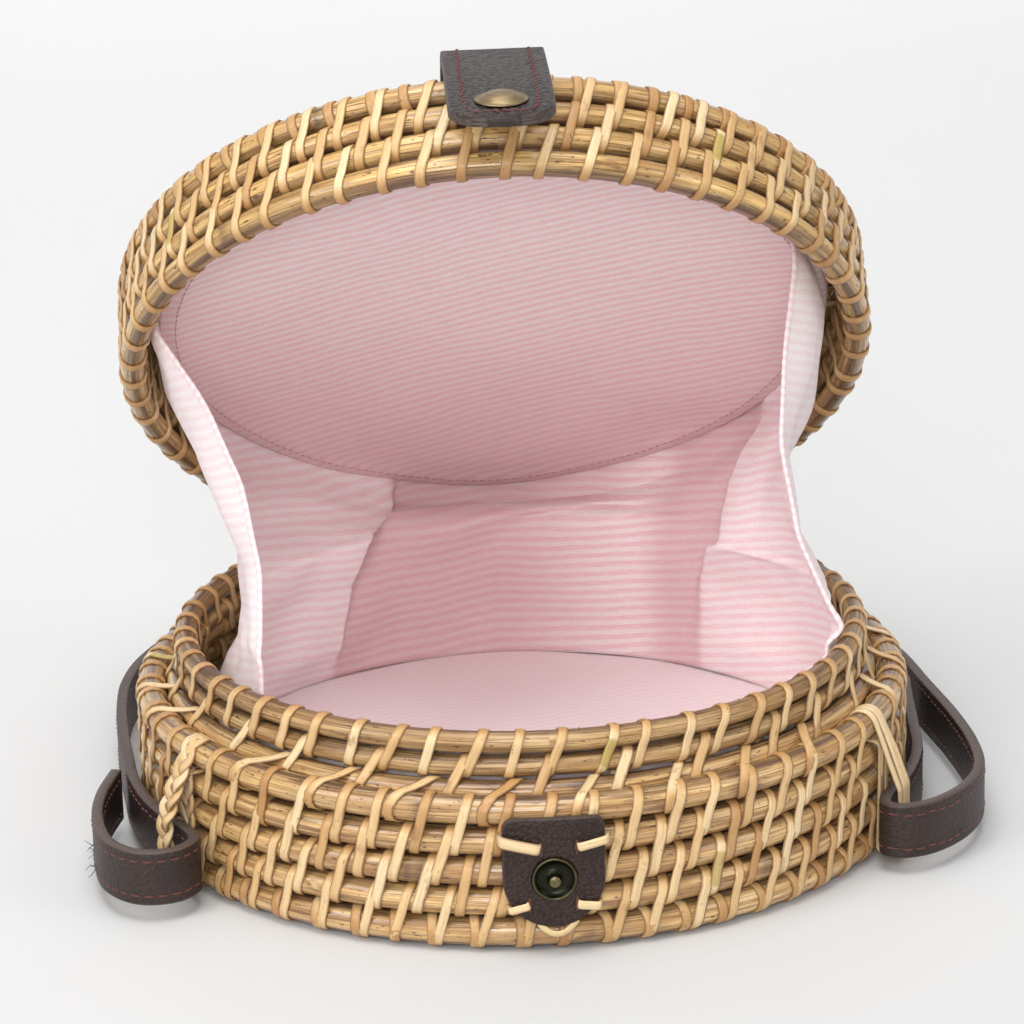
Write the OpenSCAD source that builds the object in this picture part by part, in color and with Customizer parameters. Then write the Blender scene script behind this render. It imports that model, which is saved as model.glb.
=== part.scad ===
// Round cane box bag, drawn with its lid held open.
// Millimetres, +Z up, origin at the middle of the underside, -Y is the front with the snap.

/* [Basket wall] */
// Centre radius of the rods of the basket wall
base_ring_r = 100.3; // [80:0.1:125]
// Diameter of a wall rod
wall_rod_d = 7.3; // [5:0.1:9]
// Number of rods in the basket wall
wall_rows = 5; // [3:1:8]
// Slack beside the cane strip that passes between two wall rods
row_slack = 0.15; // [0.05:0.05:0.35]
// Height of the lowest wall rod's centre above the floor rods' centres
wall_rise = 0.2; // [0:0.05:0.6]
// Diameter of the rod that lies on the top wall rod's inner side
ledge_rod_d = 6; // [4:0.1:7]
// Step inward from the top wall rod to the ledge rod
ledge_step = 7.3; // [6:0.05:10]
// Rise from the top wall rod to the ledge rod
ledge_rise = 1.8; // [0:0.05:4]
// Diameter of a collar rod
collar_rod_d = 5.5; // [4:0.1:7]
// Step inward from the ledge rod to the collar rods
collar_step = 2.4; // [1:0.05:5]
// Rise from the ledge rod to the lower collar rod
collar_rise = 6.15; // [5:0.05:9]
// Slack beside the cane strip between the two collar rods
collar_slack = 0.1; // [0.05:0.05:0.35]

/* [Floor] */
// Diameter of a floor rod
floor_rod_d = 7.2; // [5:0.1:9]
// Smallest slack beside the cane strip between two floor rods
floor_slack = 0.15; // [0.07:0.02:0.35]
// Radius of the hole in the innermost ring
ring_eye_r = 0.3; // [0.2:0.05:2]

/* [Cane] */
// Thickness of a cane strip
cane_t = 0.6; // [0.4:0.05:0.8]
// Width of a cane strip
cane_w = 3; // [2:0.1:4]
// Clearance between a cane strip and the rod under it
cane_clear = 0.05; // [0.02:0.01:0.1]
// Number of cane loops on each row of the walls and on each outer ring of the flat coils
row_loops = 12; // [8:4:64]
// Half of the angle at the back that is kept free of loops for the hinge
hinge_free_angle = 16; // [10:1:30]
// Angle from the back to a hinge tie
hinge_tie_angle = 7; // [6:1:10]
// Width of a hinge tie
hinge_tie_w = 2.6; // [2:0.1:4]

/* [Lid] */
// How much smaller the lid's rods' centre radius is than the basket's
lid_step = 1.1; // [0.5:0.1:4]
// Diameter of a lid rod
lid_rod_d = 6.6; // [5:0.1:8]
// Number of rods in the lid's wall
lid_rows = 4; // [2:1:6]
// Slack beside the cane strip between two rods of the lid's wall
lid_row_slack = 0.2; // [0.05:0.05:0.35]
// Smallest slack beside the cane strip between two rods of the lid's face
face_slack = 0.09; // [0.07:0.01:0.35]
// Height between the top wall rod's and the lid rim rod's centres, closed
lid_rim_rise = 8.7; // [8.4:0.1:11]
// Angle that the lid is drawn open at
lid_open = 45.2; // [0:0.1:60]
// Sideways slope of the hinge line
hinge_skew = -2.2; // [-4:0.1:4]
// Height of the hinge line above the top wall rod
hinge_rise = 4.5; // [2:0.1:7]
// How far the hinge line lies inside the top wall rod's centre
hinge_inset = 0.3; // [0:0.1:2]

/* [Lining] */
// Thickness of the cloth of the lining
cloth_t = 0.6; // [0.4:0.1:1.5]
// Clearance between the lining and the cane
lining_clear = 0.25; // [0.1:0.05:1]
// Thickness of the padded panel in the basket
base_panel_t = 2.6; // [1.5:0.1:6]
// Thickness of the padded panel in the lid
lid_panel_t = 6.2; // [3:0.1:8]
// How far the lid panel's edge lies inside the lid's rods
lid_panel_inset = 5.4; // [4:0.1:12]
// How far the basket panel's edge lies inside the collar's lining
base_panel_inset = 0.3; // [0.2:0.1:4]
// Height above the floor panel at which the wall lining starts to lean in
lining_knee_rise = 30; // [20:1:40]
// Angle from the front to the left end of the opening between the gussets, on the basket
base_mouth_left = 63; // [40:1:85]
// Angle from the front to the right end of that opening, on the basket
base_mouth_right = 65; // [40:1:85]
// Angle from the front to the left end of that opening, on the lid
lid_mouth_left = 75; // [40:1:85]
// Angle from the front to the right end of that opening, on the lid
lid_mouth_right = 63; // [40:1:85]
// Thickness of the gusset cloth, with its slight puff
gusset_t = 0.8; // [0.4:0.1:2]

/* [Snap tab] */
// Sideways place of the tab and of the patch
closure_x = -0.5; // [-5:0.5:5]
// Width of the tab
tab_w = 26; // [18:0.5:34]
// Thickness of the tab's leather
tab_t = 3; // [2:0.1:4]
// Length of the flap beyond the snap
tab_beyond_snap = 11; // [9:0.5:20]
// Corner radius of the flap's end
tab_corner_r = 9; // [4:0.5:12]
// Length of the root that lies on the lid
tab_root_l = 33; // [26:1:60]
// How far the fold stands out from the lid's rods' centres
tab_fold_out = 9.4; // [8:0.1:14]
// Gap between the root's end and the flap
tab_fold_gap = 0.3; // [0.2:0.05:1]
// Angle that the flap is drawn lifted at, from the closed position
tab_lift = 38.8; // [0:0.1:90]
// Outward slope of the flap when it is snapped shut
tab_shut_slope = 1.5; // [0:0.1:4]
// Radius of the brass cap
cap_r = 6.4; // [4:0.1:8]
// Height of the brass cap's dome
cap_h = 2; // [1:0.1:3]
// Radius of the socket's flange
socket_r = 5.2; // [4:0.1:6]
// Radius of the socket's tube
socket_tube_r = 3.2; // [2.6:0.1:4]
// Thickness of the socket's flange
socket_t = 0.6; // [0.4:0.1:1]

/* [Patch] */
// Width of the leather patch
patch_w = 25.5; // [16:0.5:34]
// Height of the leather patch
patch_h = 29; // [20:0.5:34]
// Thickness of the patch
patch_t = 1.8; // [1:0.1:3]
// Height of the patch's lower end
patch_low_z = 8; // [4:0.5:14]
// Space behind the patch for the cane ties
patch_stand = 0.8; // [0.75:0.05:1.5]
// Corner radius at the patch's top
patch_corner_r = 3; // [1:0.5:6]
// Height of the snap's centre
snap_z = 21; // [14:0.5:28]
// Radius of the snap's plate
snap_plate_r = 6.2; // [4:0.1:8]
// How far the snap's plate stands out of the patch
snap_plate_out = 0.3; // [0.2:0.05:1]
// Radius of the snap's post
snap_post_r = 1.9; // [1.4:0.1:2.4]
// Length of the snap's post beyond the plate
snap_post_l = 2.2; // [1.2:0.1:3]
// Width of a cane tie on the patch
tie_w = 2.2; // [1.5:0.1:3]
// Length of a cane tie on the patch
tie_l = 6; // [4:0.1:8]

/* [Strap] */
// Width of the strap, which stands on edge
strap_w = 14.5; // [10:0.5:20]
// Thickness of the strap
strap_t = 3; // [2:0.1:4]
// Height of the strap's lower edge at the rings
strap_front_z = 4.6; // [3.6:0.1:8]
// Height of the strap's lower edge at the back, where it lies on the floor
strap_back_z = 0.3; // [0:0.1:2]
// Width of the cane strip that holds the strap
ring_w = 4.5; // [3:0.5:6]
// Thickness of that strip
ring_t = 0.6; // [0.4:0.05:0.7]
// Angle from the front to the left ring
ring_left_angle = 60; // [40:1:70]
// Angle from the front to the right ring
ring_right_angle = 59; // [40:1:70]

/* [Hidden] */
$fn = 48;
arc_n = 6;

cane = cane_clear + cane_t;
row_pitch = wall_rod_d + cane + row_slack;
floor_z = floor_rod_d / 2 + cane;
wall_low_z = floor_z + wall_rise;
wall_top_z = wall_low_z + (wall_rows - 1) * row_pitch;
wall_out_r = base_ring_r + wall_rod_d / 2 + cane;
ledge_r = base_ring_r - ledge_step;
ledge_z = wall_top_z + ledge_rise;
collar_r = ledge_r - collar_step;
collar_low_z = ledge_z + collar_rise;
collar_top_z = collar_low_z + collar_rod_d + cane + collar_slack;
collar_in_r = collar_r - collar_rod_d / 2 - cane;
collar_crest_z = collar_top_z + collar_rod_d / 2 + cane;

floor_core_r = floor_rod_d / 2 + ring_eye_r;
floor_rings = floor((base_ring_r - floor_core_r) / (floor_rod_d + cane + floor_slack));
floor_pitch = (base_ring_r - floor_core_r) / floor_rings;
floor_top_z = floor_z + floor_rod_d / 2 + cane;

lid_ring_r = base_ring_r - lid_step;
lid_pitch = lid_rod_d + cane + lid_row_slack;
lid_rim_z = wall_top_z + lid_rim_rise;
lid_face_z = lid_rim_z + (lid_rows - 1) * lid_pitch;
lid_in_r = lid_ring_r - lid_rod_d / 2 - cane;
face_core_r = lid_rod_d / 2 + ring_eye_r;
face_rings = floor((lid_ring_r - face_core_r) / (lid_rod_d + cane + face_slack));
face_pitch = (lid_ring_r - face_core_r) / face_rings;
face_top_z = lid_face_z + lid_rod_d / 2 + cane;
face_under_z = lid_face_z - lid_rod_d / 2 - cane;

hinge_point = [0, base_ring_r - hinge_inset, wall_top_z + hinge_rise];
hinge_axis = [-cos(hinge_skew), 0, sin(hinge_skew)];

base_panel_z = floor_top_z + lining_clear;
base_panel_top_z = base_panel_z + base_panel_t;
lining_top_r = collar_in_r - lining_clear;
lining_low_r = ledge_r - ledge_rod_d / 2 - cane - lining_clear;
base_panel_r = lining_low_r - cloth_t - base_panel_inset;
lining_knee_z = base_panel_top_z + lining_knee_rise;
lining_brim_z = collar_top_z + collar_rod_d / 2 - cane_t;
lid_panel_top_z = face_under_z - cane_t;
lid_panel_z = lid_panel_top_z - lid_panel_t;
lid_panel_r = lid_ring_r - lid_rod_d / 2 - lid_panel_inset;
lid_lining_r = lid_in_r - lining_clear;

patch_in_r = wall_out_r + patch_stand;
patch_out_r = patch_in_r + patch_t;
fold_y = -(lid_ring_r + tab_fold_out);
fold_z = face_top_z + cane_t / 2 + tab_t / 2;
snap_reach = fold_z - snap_z;
flap_l = snap_reach + tab_beyond_snap;
plate_y = -(patch_out_r + snap_plate_out);
socket_bore_r = snap_post_r + cane_t;

strap_out = wall_out_r;
strap_pivot_y = -0.631 * strap_out;
strap_back_y = 1.391 * strap_out;
strap_tilt = atan((strap_front_z - strap_back_z) / (strap_back_y - strap_pivot_y));

// Places along the strap, from its left end to its right end, as shares of the basket's radius
strap_path_shares = [[-1.0585, -0.11], [-1.09, -0.27], [-1.096, -0.43], [-1.068, -0.59],
    [-0.996, -0.683], [-0.908, -0.684], [-0.856, -0.62], [-0.872, -0.548], [-0.927, -0.447],
    [-0.976, -0.32], [-1.012, -0.165], [-1.029, 0], [-1.045, 0.172], [-1.055, 0.382],
    [-1.047, 0.593], [-1, 0.803], [-0.89, 1.033], [-0.717, 1.214], [-0.478, 1.329],
    [-0.239, 1.377], [0, 1.391], [0.239, 1.377], [0.478, 1.329], [0.727, 1.214],
    [0.908, 1.023], [1.023, 0.803], [1.09, 0.555], [1.12, 0.287], [1.147, 0.03],
    [1.155, -0.19], [1.137, -0.37], [1.075, -0.505], [0.985, -0.6], [0.905, -0.632],
    [0.859, -0.609], [0.87, -0.547], [0.915, -0.468], [0.962, -0.364], [1.005, -0.221],
    [1.0275, -0.04], [1.047, 0.143], [1.071, 0.33]];

function arc(c, r, a, b, n) =
    [for (i = [0:n]) let (w = a + (b - a) * i / n) c + r * [cos(w), sin(w)]];

// Outline of a band laid round two circles
function belt(p, rp, q, rq) =
    let (d = norm(q - p), b = atan2(q[1] - p[1], q[0] - p[0]), w = acos((rp - rq) / d))
    concat(arc(p, rp, b + w, b + 360 - w, arc_n), arc(q, rq, b - w, b + w, arc_n));

// Both edges of a ribbon of thickness t that follows the points p
function along(p, i) = let (n = len(p), v = p[min(i + 1, n - 1)] - p[max(i - 1, 0)]) v / norm(v);
function side(p, i, s) = let (v = along(p, i)) p[i] + s * [-v[1], v[0]];
function ribbon(p, t) =
    let (n = len(p))
    concat([for (i = [0:n - 1]) side(p, i, t / 2)], [for (i = [n - 1:-1:0]) side(p, i, -t / 2)]);

// One edge of a closed ribbon, s to the left of the points p
function ring_edge(p, s) =
    let (n = len(p))
    [for (i = [0:n - 1])
        let (d = p[(i + 1) % n] - p[(i + n - 1) % n], v = d / norm(d))
        p[i] + s * [-v[1], v[0]]];

// A smooth curve through the points p, with m steps between two of them
function smooth(p, m) =
    let (n = len(p))
    concat([for (i = [0:n - 2], k = [0:m - 1])
        let (a = p[max(i - 1, 0)], b = p[i], c = p[i + 1], d = p[min(i + 2, n - 1)], u = k / m)
        b + u * (c - a) / 2 + u * u * (a - 2.5 * b + 2 * c - d / 2)
            + u * u * u * (1.5 * b - a / 2 - 1.5 * c + d / 2)], [p[n - 1]]);

function turned(v, k, a) = v * cos(a) + cross(k, v) * sin(a) + k * (k * v) * (1 - cos(a));
function opened(v) = hinge_point + turned(v - hinge_point, hinge_axis, lid_open);
function around(r, a, z) = [r * sin(a), -r * cos(a), z];

module lid_place() {
    translate(hinge_point) rotate(a = lid_open, v = hinge_axis) translate(-hinge_point) children();
}

module at_angle(a) {
    rotate([0, 0, a - 90]) children();
}

module ring(r, z, d) {
    translate([0, 0, z]) rotate_extrude() translate([r, 0]) circle(r = d / 2);
}

// A flat strip of width w standing in the plane of radius and height
module upright(w) {
    rotate([90, 0, 0]) translate([0, 0, -w / 2]) linear_extrude(w) children();
}

// One cane loop round two rods, given by centre and diameter
module cane_loop(p, dp, q, dq, w) {
    grow = 1 / cos(90 / arc_n);
    upright(w) difference() {
        polygon(belt(p, dp / 2 + cane, q, dq / 2 + cane));
        polygon(belt(p, (dp / 2 + cane_clear) * grow, q, (dq / 2 + cane_clear) * grow));
    }
}

// Angle of loop i of n in row j: each row is staggered against the next two
function loop_angle(i, n, j) = 360 * (i + (j % 3) / 3 + 1 / 6) / n;

// The lid's loops are turned so that none lies under the tab's ties
lid_turn = -60 / row_loops;

// Loops on one row, evenly spaced, with the hinge's angle left free where asked
module loop_row(p, dp, q, dq, j, turn, free) {
    for (i = [0:row_loops - 1]) {
        a = loop_angle(i, row_loops, j) + turn;
        if (abs(a - 180) > free) at_angle(a) cane_loop(p, dp, q, dq, cane_w);
    }
}

// Loops between ring k - 1 and ring k of a flat coil, counted from its edge
module flat_row(k, rings, pitch, core_r, z, d, outer_z, outer_d, turn) {
    r = core_r + (rings - k) * pitch;
    p = [r + pitch, k == 1 ? outer_z : z];
    n = k < rings / 2 ? row_loops : k < rings * 3 / 4 ? row_loops / 2 : row_loops / 4;
    for (i = [0:n - 1]) at_angle(loop_angle(i, n, 2 * k + 1) + turn)
        cane_loop([r, z], d, p, k == 1 ? outer_d : d, min(cane_w, r / 8));
}

// One loop right across the first two rings of a flat coil
module heart_loop(rings, pitch, core_r, z, d, turn) {
    at_angle(loop_angle(1 / 6, row_loops / 4, 2 * rings - 1) + turn)
        cane_loop([-core_r - pitch, z], d, [core_r + pitch, z], d, cane_w);
}

module base_floor_coils() {
    color("Tan") for (k = [1:floor_rings]) ring(base_ring_r - k * floor_pitch, floor_z, floor_rod_d);
}

module wall_coil(k) {
    color("BurlyWood") ring(base_ring_r, wall_low_z + (k - 1) * row_pitch, wall_rod_d);
}

module base_wall_coil_1() {
    wall_coil(1);
}

module base_wall_coil_2() {
    wall_coil(2);
}

module base_wall_coil_3() {
    wall_coil(3);
}

module base_wall_coil_4() {
    wall_coil(4);
}

module base_wall_coil_5() {
    wall_coil(wall_rows);
}

module base_ledge_coil() {
    color("BurlyWood") ring(ledge_r, ledge_z, ledge_rod_d);
}

module base_collar_coil_lower() {
    color("Tan") ring(collar_r, collar_low_z, collar_rod_d);
}

module base_collar_coil_upper() {
    color("Tan") ring(collar_r, collar_top_z, collar_rod_d);
}

module base_floor_bindings() {
    color("Wheat") for (k = [2:floor_rings - 1])
        flat_row(k, floor_rings, floor_pitch, floor_core_r, floor_z, floor_rod_d, floor_z, floor_rod_d, 0);
}

// The loops that the bag rests on: one row round the edge, and the one at the middle
module base_foot_bindings() {
    color("Wheat") {
        flat_row(1, floor_rings, floor_pitch, floor_core_r, floor_z, floor_rod_d, wall_low_z,
            wall_rod_d, 0);
        heart_loop(floor_rings, floor_pitch, floor_core_r, floor_z, floor_rod_d, 0);
    }
}

module base_wall_bindings() {
    color("Wheat") for (k = [1:wall_rows - 1]) {
        z = wall_low_z + (k - 1) * row_pitch;
        loop_row([base_ring_r, z], wall_rod_d, [base_ring_r, z + row_pitch], wall_rod_d,
            k, 0, k == wall_rows - 1 ? hinge_free_angle : 0);
    }
}

module base_collar_bindings() {
    color("Wheat") loop_row([collar_r, collar_low_z], collar_rod_d,
        [collar_r, collar_top_z], collar_rod_d, 0, 0, 0);
}

module base_lining_panel() {
    color("Pink") translate([0, 0, base_panel_z]) cylinder(h = base_panel_t, r = base_panel_r);
}

module base_lining_wall() {
    span = base_mouth_left + base_mouth_right;
    color("LightPink") rotate([0, 0, -90 - base_mouth_left]) rotate_extrude(angle = span) polygon([
        [lining_low_r, base_panel_z], [lining_top_r, lining_knee_z], [lining_top_r, lining_brim_z],
        [lining_top_r - cloth_t, lining_brim_z], [lining_top_r - cloth_t, lining_knee_z],
        [lining_low_r - cloth_t, base_panel_z]]);
}

// The gusset: a cloth wall from the basket's lining, round the sides and back, to the lid's lining
function gusset_point(u, v) =
    let (
        a = -base_mouth_left - u * (360 - base_mouth_left - base_mouth_right),
        b = -lid_mouth_left - u * (360 - lid_mouth_left - lid_mouth_right),
        low = around(base_panel_r, a, base_panel_top_z + gusset_t),
        knee = around(lining_top_r - gusset_t, a, lining_knee_z),
        brim = around(lining_top_r - gusset_t, a, collar_crest_z),
        crest = around(collar_r, a, collar_crest_z + 2 * gusset_t),
        rim = opened(around(lid_lining_r - 2 * gusset_t, b, lid_rim_z + lid_pitch / 2)),
        seam = opened(around(lid_lining_r - 2 * gusset_t, b, lid_panel_z + 2 * gusset_t)),
        rows = [low, knee, brim, crest, (crest * 2 + rim) / 3, (crest + rim * 2) / 3, rim, seam])
    rows[v];

module gusset() {
    m = 28;
    n = 7;
    p = [for (i = [0:m], j = [0:n]) gusset_point(i / m, j)];
    function at(i, j) = p[min(max(i, 0), m) * (n + 1) + min(max(j, 0), n)];
    function out(i, j) = let (c = cross(at(i + 1, j) - at(i - 1, j), at(i, j + 1) - at(i, j - 1)))
        c / norm(c);
    function id(i, j, s) = (s * (m + 1) + i) * (n + 1) + j;
    function quad(a, b, c, d) = [[a, b, c], [a, c, d]];
    skin = [for (s = [0, 1], i = [0:m], j = [0:n]) at(i, j) + (s - 0.5) * gusset_t * out(i, j)];
    faces = [
        for (i = [0:m - 1], j = [0:n - 1], f = quad(id(i, j, 0), id(i + 1, j, 0), id(i + 1, j + 1, 0),
            id(i, j + 1, 0))) f,
        for (i = [0:m - 1], j = [0:n - 1], f = quad(id(i, j, 1), id(i, j + 1, 1), id(i + 1, j + 1, 1),
            id(i + 1, j, 1))) f,
        for (i = [0:m - 1], f = quad(id(i, 0, 0), id(i, 0, 1), id(i + 1, 0, 1), id(i + 1, 0, 0))) f,
        for (i = [0:m - 1], f = quad(id(i, n, 0), id(i + 1, n, 0), id(i + 1, n, 1), id(i, n, 1))) f,
        for (j = [0:n - 1], f = quad(id(0, j, 0), id(0, j + 1, 0), id(0, j + 1, 1), id(0, j, 1))) f,
        for (j = [0:n - 1], f = quad(id(m, j, 0), id(m, j, 1), id(m, j + 1, 1), id(m, j + 1, 0))) f
    ];
    color("MistyRose") polyhedron(points = skin, faces = faces, convexity = 6);
}

function patch_outline() =
    let (
        w = patch_w / 2,
        top = patch_low_z + patch_h,
        low = patch_low_z + w,
        r = patch_corner_r)
    concat(arc([w - r, top - r], r, 0, 90, arc_n), arc([r - w, top - r], r, 90, 180, arc_n),
        arc([0, low], w, 180, 360, 2 * arc_n));

module patch_tie_places() {
    for (s = [-1, 1], z = [snap_z - tie_l, snap_z + tie_l + tie_w]) {
        a = (closure_x + s * (patch_w / 2 - tie_w / 2)) / patch_in_r * 180 / PI;
        rotate([0, 0, a]) translate([0, -patch_in_r, z]) children();
    }
}

module snap_patch() {
    slot = cane_t + 2 * cane_clear;
    color("SaddleBrown") difference() {
        intersection() {
            rotate([0, 0, 180]) rotate_extrude(angle = 180) translate([patch_in_r, 0])
                square([patch_t, patch_low_z + 2 * patch_h]);
            translate([closure_x, 0, 0]) rotate([90, 0, 0]) linear_extrude(2 * patch_out_r)
                polygon(patch_outline());
        }
        translate([closure_x, -patch_in_r / 2, snap_z]) rotate([90, 0, 0])
            cylinder(h = patch_in_r, r = snap_plate_r + cane_clear * 2);
        patch_tie_places() for (s = [-1, 1]) translate([s * (tie_l - cane_t) / 2 - slot / 2, -2 * patch_t,
            -tie_w / 2 - cane_clear]) cube([slot, 4 * patch_t, tie_w + 2 * cane_clear]);
    }
}

// A flat cane strip wound once through two slots of the leather
module patch_ties() {
    color("Wheat") patch_tie_places() translate([-tie_l / 2, -patch_t - cane, -tie_w / 2]) difference() {
        cube([tie_l, patch_t + 2 * cane, tie_w]);
        translate([cane_t, cane_t, -tie_w]) cube([tie_l - 2 * cane_t, patch_t + 2 * cane_clear, 3 * tie_w]);
    }
}

module snap_stud() {
    back = -(patch_in_r - cane_clear);
    face = -plate_y + back;
    lip = snap_plate_r * 0.16;
    color("DarkGoldenrod") translate([closure_x, back, snap_z]) rotate([90, 0, 0]) rotate_extrude()
        polygon([[0, 0], [snap_plate_r, 0], [snap_plate_r, face], [snap_plate_r - lip, face],
            [snap_plate_r - 2 * lip, face - lip / 2], [snap_post_r, face - lip / 2],
            [snap_post_r, face + snap_post_l - lip / 2], [snap_post_r - lip / 2, face + snap_post_l],
            [0, face + snap_post_l]]);
}

// The cane strip that hangs from the top wall rod and passes under the strap's fold
function strap_ring_path() =
    let (
        r = wall_rod_d / 2 + 2 * cane_clear + ring_t / 2,
        c = [base_ring_r, wall_top_z],
        near = wall_out_r + ring_t,
        far = near + 2 * strap_t,
        bow = strap_t / 2,
        low = strap_front_z - ring_t - bow)
    concat(arc(c, r, 20, 270, 3 * arc_n), arc([near - bow, c[1] - r - bow], bow, 90, 0, 3),
        arc([near + bow, low + bow], bow, 180, 270, 3), arc([far - bow, low + bow], bow, 270, 350, 3),
        [[far, strap_front_z + strap_w * 1.1]]);

module strap_ring(a) {
    p = strap_ring_path();
    color("Wheat") at_angle(a) upright(ring_w) difference() {
        polygon(ring_edge(p, -ring_t / 2));
        polygon(ring_edge(p, ring_t / 2));
    }
}

module strap_ring_left() {
    strap_ring(-ring_left_angle);
}

module strap_ring_right() {
    strap_ring(ring_right_angle);
}

// A loose cane loop round the top wall rod and the lid's rim rod, as it stands with the lid open
module hinge_tie(a) {
    rim = opened(around(lid_ring_r, a, lid_rim_z));
    color("Wheat") at_angle(atan2(rim[0], -rim[1])) cane_loop([base_ring_r, wall_top_z], wall_rod_d,
        [norm([rim[0], rim[1]]), rim[2]], lid_rod_d + 5 * cane_clear, hinge_tie_w);
}

module hinge_tie_left() {
    hinge_tie(180 + hinge_tie_angle);
}

module hinge_tie_right() {
    hinge_tie(180 - hinge_tie_angle);
}

module lid_face_coils() {
    color("Tan") lid_place() for (k = [1:face_rings])
        ring(lid_ring_r - k * face_pitch, lid_face_z, lid_rod_d);
}

module lid_coil(k) {
    color("BurlyWood") lid_place() ring(lid_ring_r, lid_face_z - (k - 1) * lid_pitch, lid_rod_d);
}

module lid_wall_coil_1() {
    lid_coil(1);
}

module lid_wall_coil_2() {
    lid_coil(2);
}

module lid_wall_coil_3() {
    lid_coil(3);
}

module lid_wall_coil_4() {
    lid_coil(lid_rows);
}

module lid_wall_bindings() {
    color("Wheat") lid_place() for (k = [1:lid_rows - 1]) {
        z = lid_face_z - k * lid_pitch;
        loop_row([lid_ring_r, z], lid_rod_d, [lid_ring_r, z + lid_pitch], lid_rod_d,
            k, lid_turn, k == lid_rows - 1 ? hinge_free_angle : 0);
    }
}

module lid_face_bindings() {
    color("Wheat") lid_place() {
        for (k = [1:face_rings - 1]) flat_row(k, face_rings, face_pitch, face_core_r, lid_face_z,
            lid_rod_d, lid_face_z, lid_rod_d, lid_turn);
        heart_loop(face_rings, face_pitch, face_core_r, lid_face_z, lid_rod_d, lid_turn);
    }
}

module lid_lining_panel() {
    color("Pink") lid_place() translate([0, 0, lid_panel_z]) cylinder(h = lid_panel_t, r = lid_panel_r);
}

module lid_lining_wall() {
    span = lid_mouth_left + lid_mouth_right;
    low_z = collar_crest_z + cloth_t;
    color("LightPink") lid_place() rotate([0, 0, -90 - lid_mouth_left]) rotate_extrude(angle = span)
        translate([lid_lining_r - cloth_t, low_z]) square([cloth_t, lid_panel_top_z - low_z]);
}

// Where the two cane ties hold the tab's root: across the first two rings of the lid's face
module tab_tie_places() {
    r_near = lid_ring_r - 2.5 * face_pitch;
    for (s = [-1, 1]) translate([closure_x, 0, 0]) at_angle(s * tab_w / 4 / r_near * 180 / PI)
        translate([r_near, 0, 0]) children();
}

module tab_root() {
    low_z = fold_z - tab_t / 2;
    color("SaddleBrown") lid_place() difference() {
        translate([closure_x - tab_w / 2, fold_y + tab_t / 2 + tab_fold_gap, low_z])
            cube([tab_w, tab_root_l, tab_t]);
        tab_tie_places() for (d = [0, 2 * face_pitch]) translate([d - cane, -tie_w, low_z - tab_t])
            cube([2 * cane, 2 * tie_w, 3 * tab_t]);
    }
}

module tab_ties() {
    low_z = lid_face_z - lid_rod_d / 2 - cane;
    high_z = fold_z + tab_t / 2 + cane;
    l = 2 * face_pitch;
    color("Wheat") lid_place() tab_tie_places() upright(tie_w * 1.2) difference() {
        translate([-cane_t / 2, low_z]) square([l + cane_t, high_z - low_z]);
        translate([cane_t / 2, low_z + cane_t]) square([l - cane_t, high_z - low_z - 2 * cane_t]);
    }
}

// The flap's own frame: fold at the origin, the flap along -Z, its outer face toward -Y
module flap_place() {
    lid_place() translate([closure_x, fold_y, fold_z]) rotate([-tab_lift - tab_shut_slope, 0, 0])
        children();
}

function flap_outline() =
    let (w = tab_w / 2, r = tab_corner_r)
    concat([[w, 0], [-w, 0]], arc([r - w, r - flap_l], r, 180, 270, arc_n),
        arc([w - r, r - flap_l], r, 270, 360, arc_n));

module closure_tab() {
    color("SaddleBrown") flap_place() difference() {
        union() {
            translate([0, tab_t / 2, 0]) rotate([90, 0, 0]) linear_extrude(tab_t) polygon(flap_outline());
            translate([-tab_w / 2, 0, 0]) rotate([0, 90, 0]) cylinder(h = tab_w, r = tab_t / 2);
        }
        translate([0, tab_t, -snap_reach]) rotate([90, 0, 0])
            cylinder(h = 2 * tab_t, r = socket_tube_r + cane_clear * 2);
    }
}

module snap_cap() {
    top = tab_t / 2 + cane_clear;
    dome_r = (cap_r * cap_r + cap_h * cap_h) / (2 * cap_h);
    color("DarkGoldenrod") flap_place() translate([0, -top, -snap_reach]) rotate([90, 0, 0])
        intersection() {
            cylinder(h = cap_h, r = cap_r);
            translate([0, 0, cap_h - dome_r]) sphere(r = dome_r);
        }
}

module snap_socket() {
    color("DarkGoldenrod") flap_place() translate([0, tab_t / 2 + cane_clear + socket_t, -snap_reach])
        rotate([90, 0, 0]) rotate_extrude() polygon([[socket_bore_r, 0], [socket_r, 0],
            [socket_r, socket_t], [socket_tube_r, socket_t], [socket_tube_r, socket_t + tab_t],
            [socket_bore_r, socket_t + tab_t]]);
}

module strap() {
    path = smooth(strap_out * strap_path_shares, 4);
    color("SaddleBrown") translate([0, strap_pivot_y, strap_front_z]) rotate([-strap_tilt, 0, 0])
        translate([0, -strap_pivot_y, 0]) linear_extrude(strap_w) polygon(ribbon(path, strap_t));
}

base_floor_coils();
base_wall_coil_1();
base_wall_coil_2();
base_wall_coil_3();
base_wall_coil_4();
base_wall_coil_5();
base_ledge_coil();
base_collar_coil_lower();
base_collar_coil_upper();
base_floor_bindings();
base_foot_bindings();
base_wall_bindings();
base_collar_bindings();
base_lining_panel();
base_lining_wall();
gusset();
snap_patch();
patch_ties();
snap_stud();
strap_ring_left();
strap_ring_right();
hinge_tie_left();
hinge_tie_right();
lid_face_coils();
lid_wall_coil_1();
lid_wall_coil_2();
lid_wall_coil_3();
lid_wall_coil_4();
lid_wall_bindings();
lid_face_bindings();
lid_lining_panel();
lid_lining_wall();
tab_root();
tab_ties();
closure_tab();
snap_cap();
snap_socket();
strap();
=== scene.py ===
import math

import bmesh
import bpy
import numpy as np
from mathutils import Matrix, Vector


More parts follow.
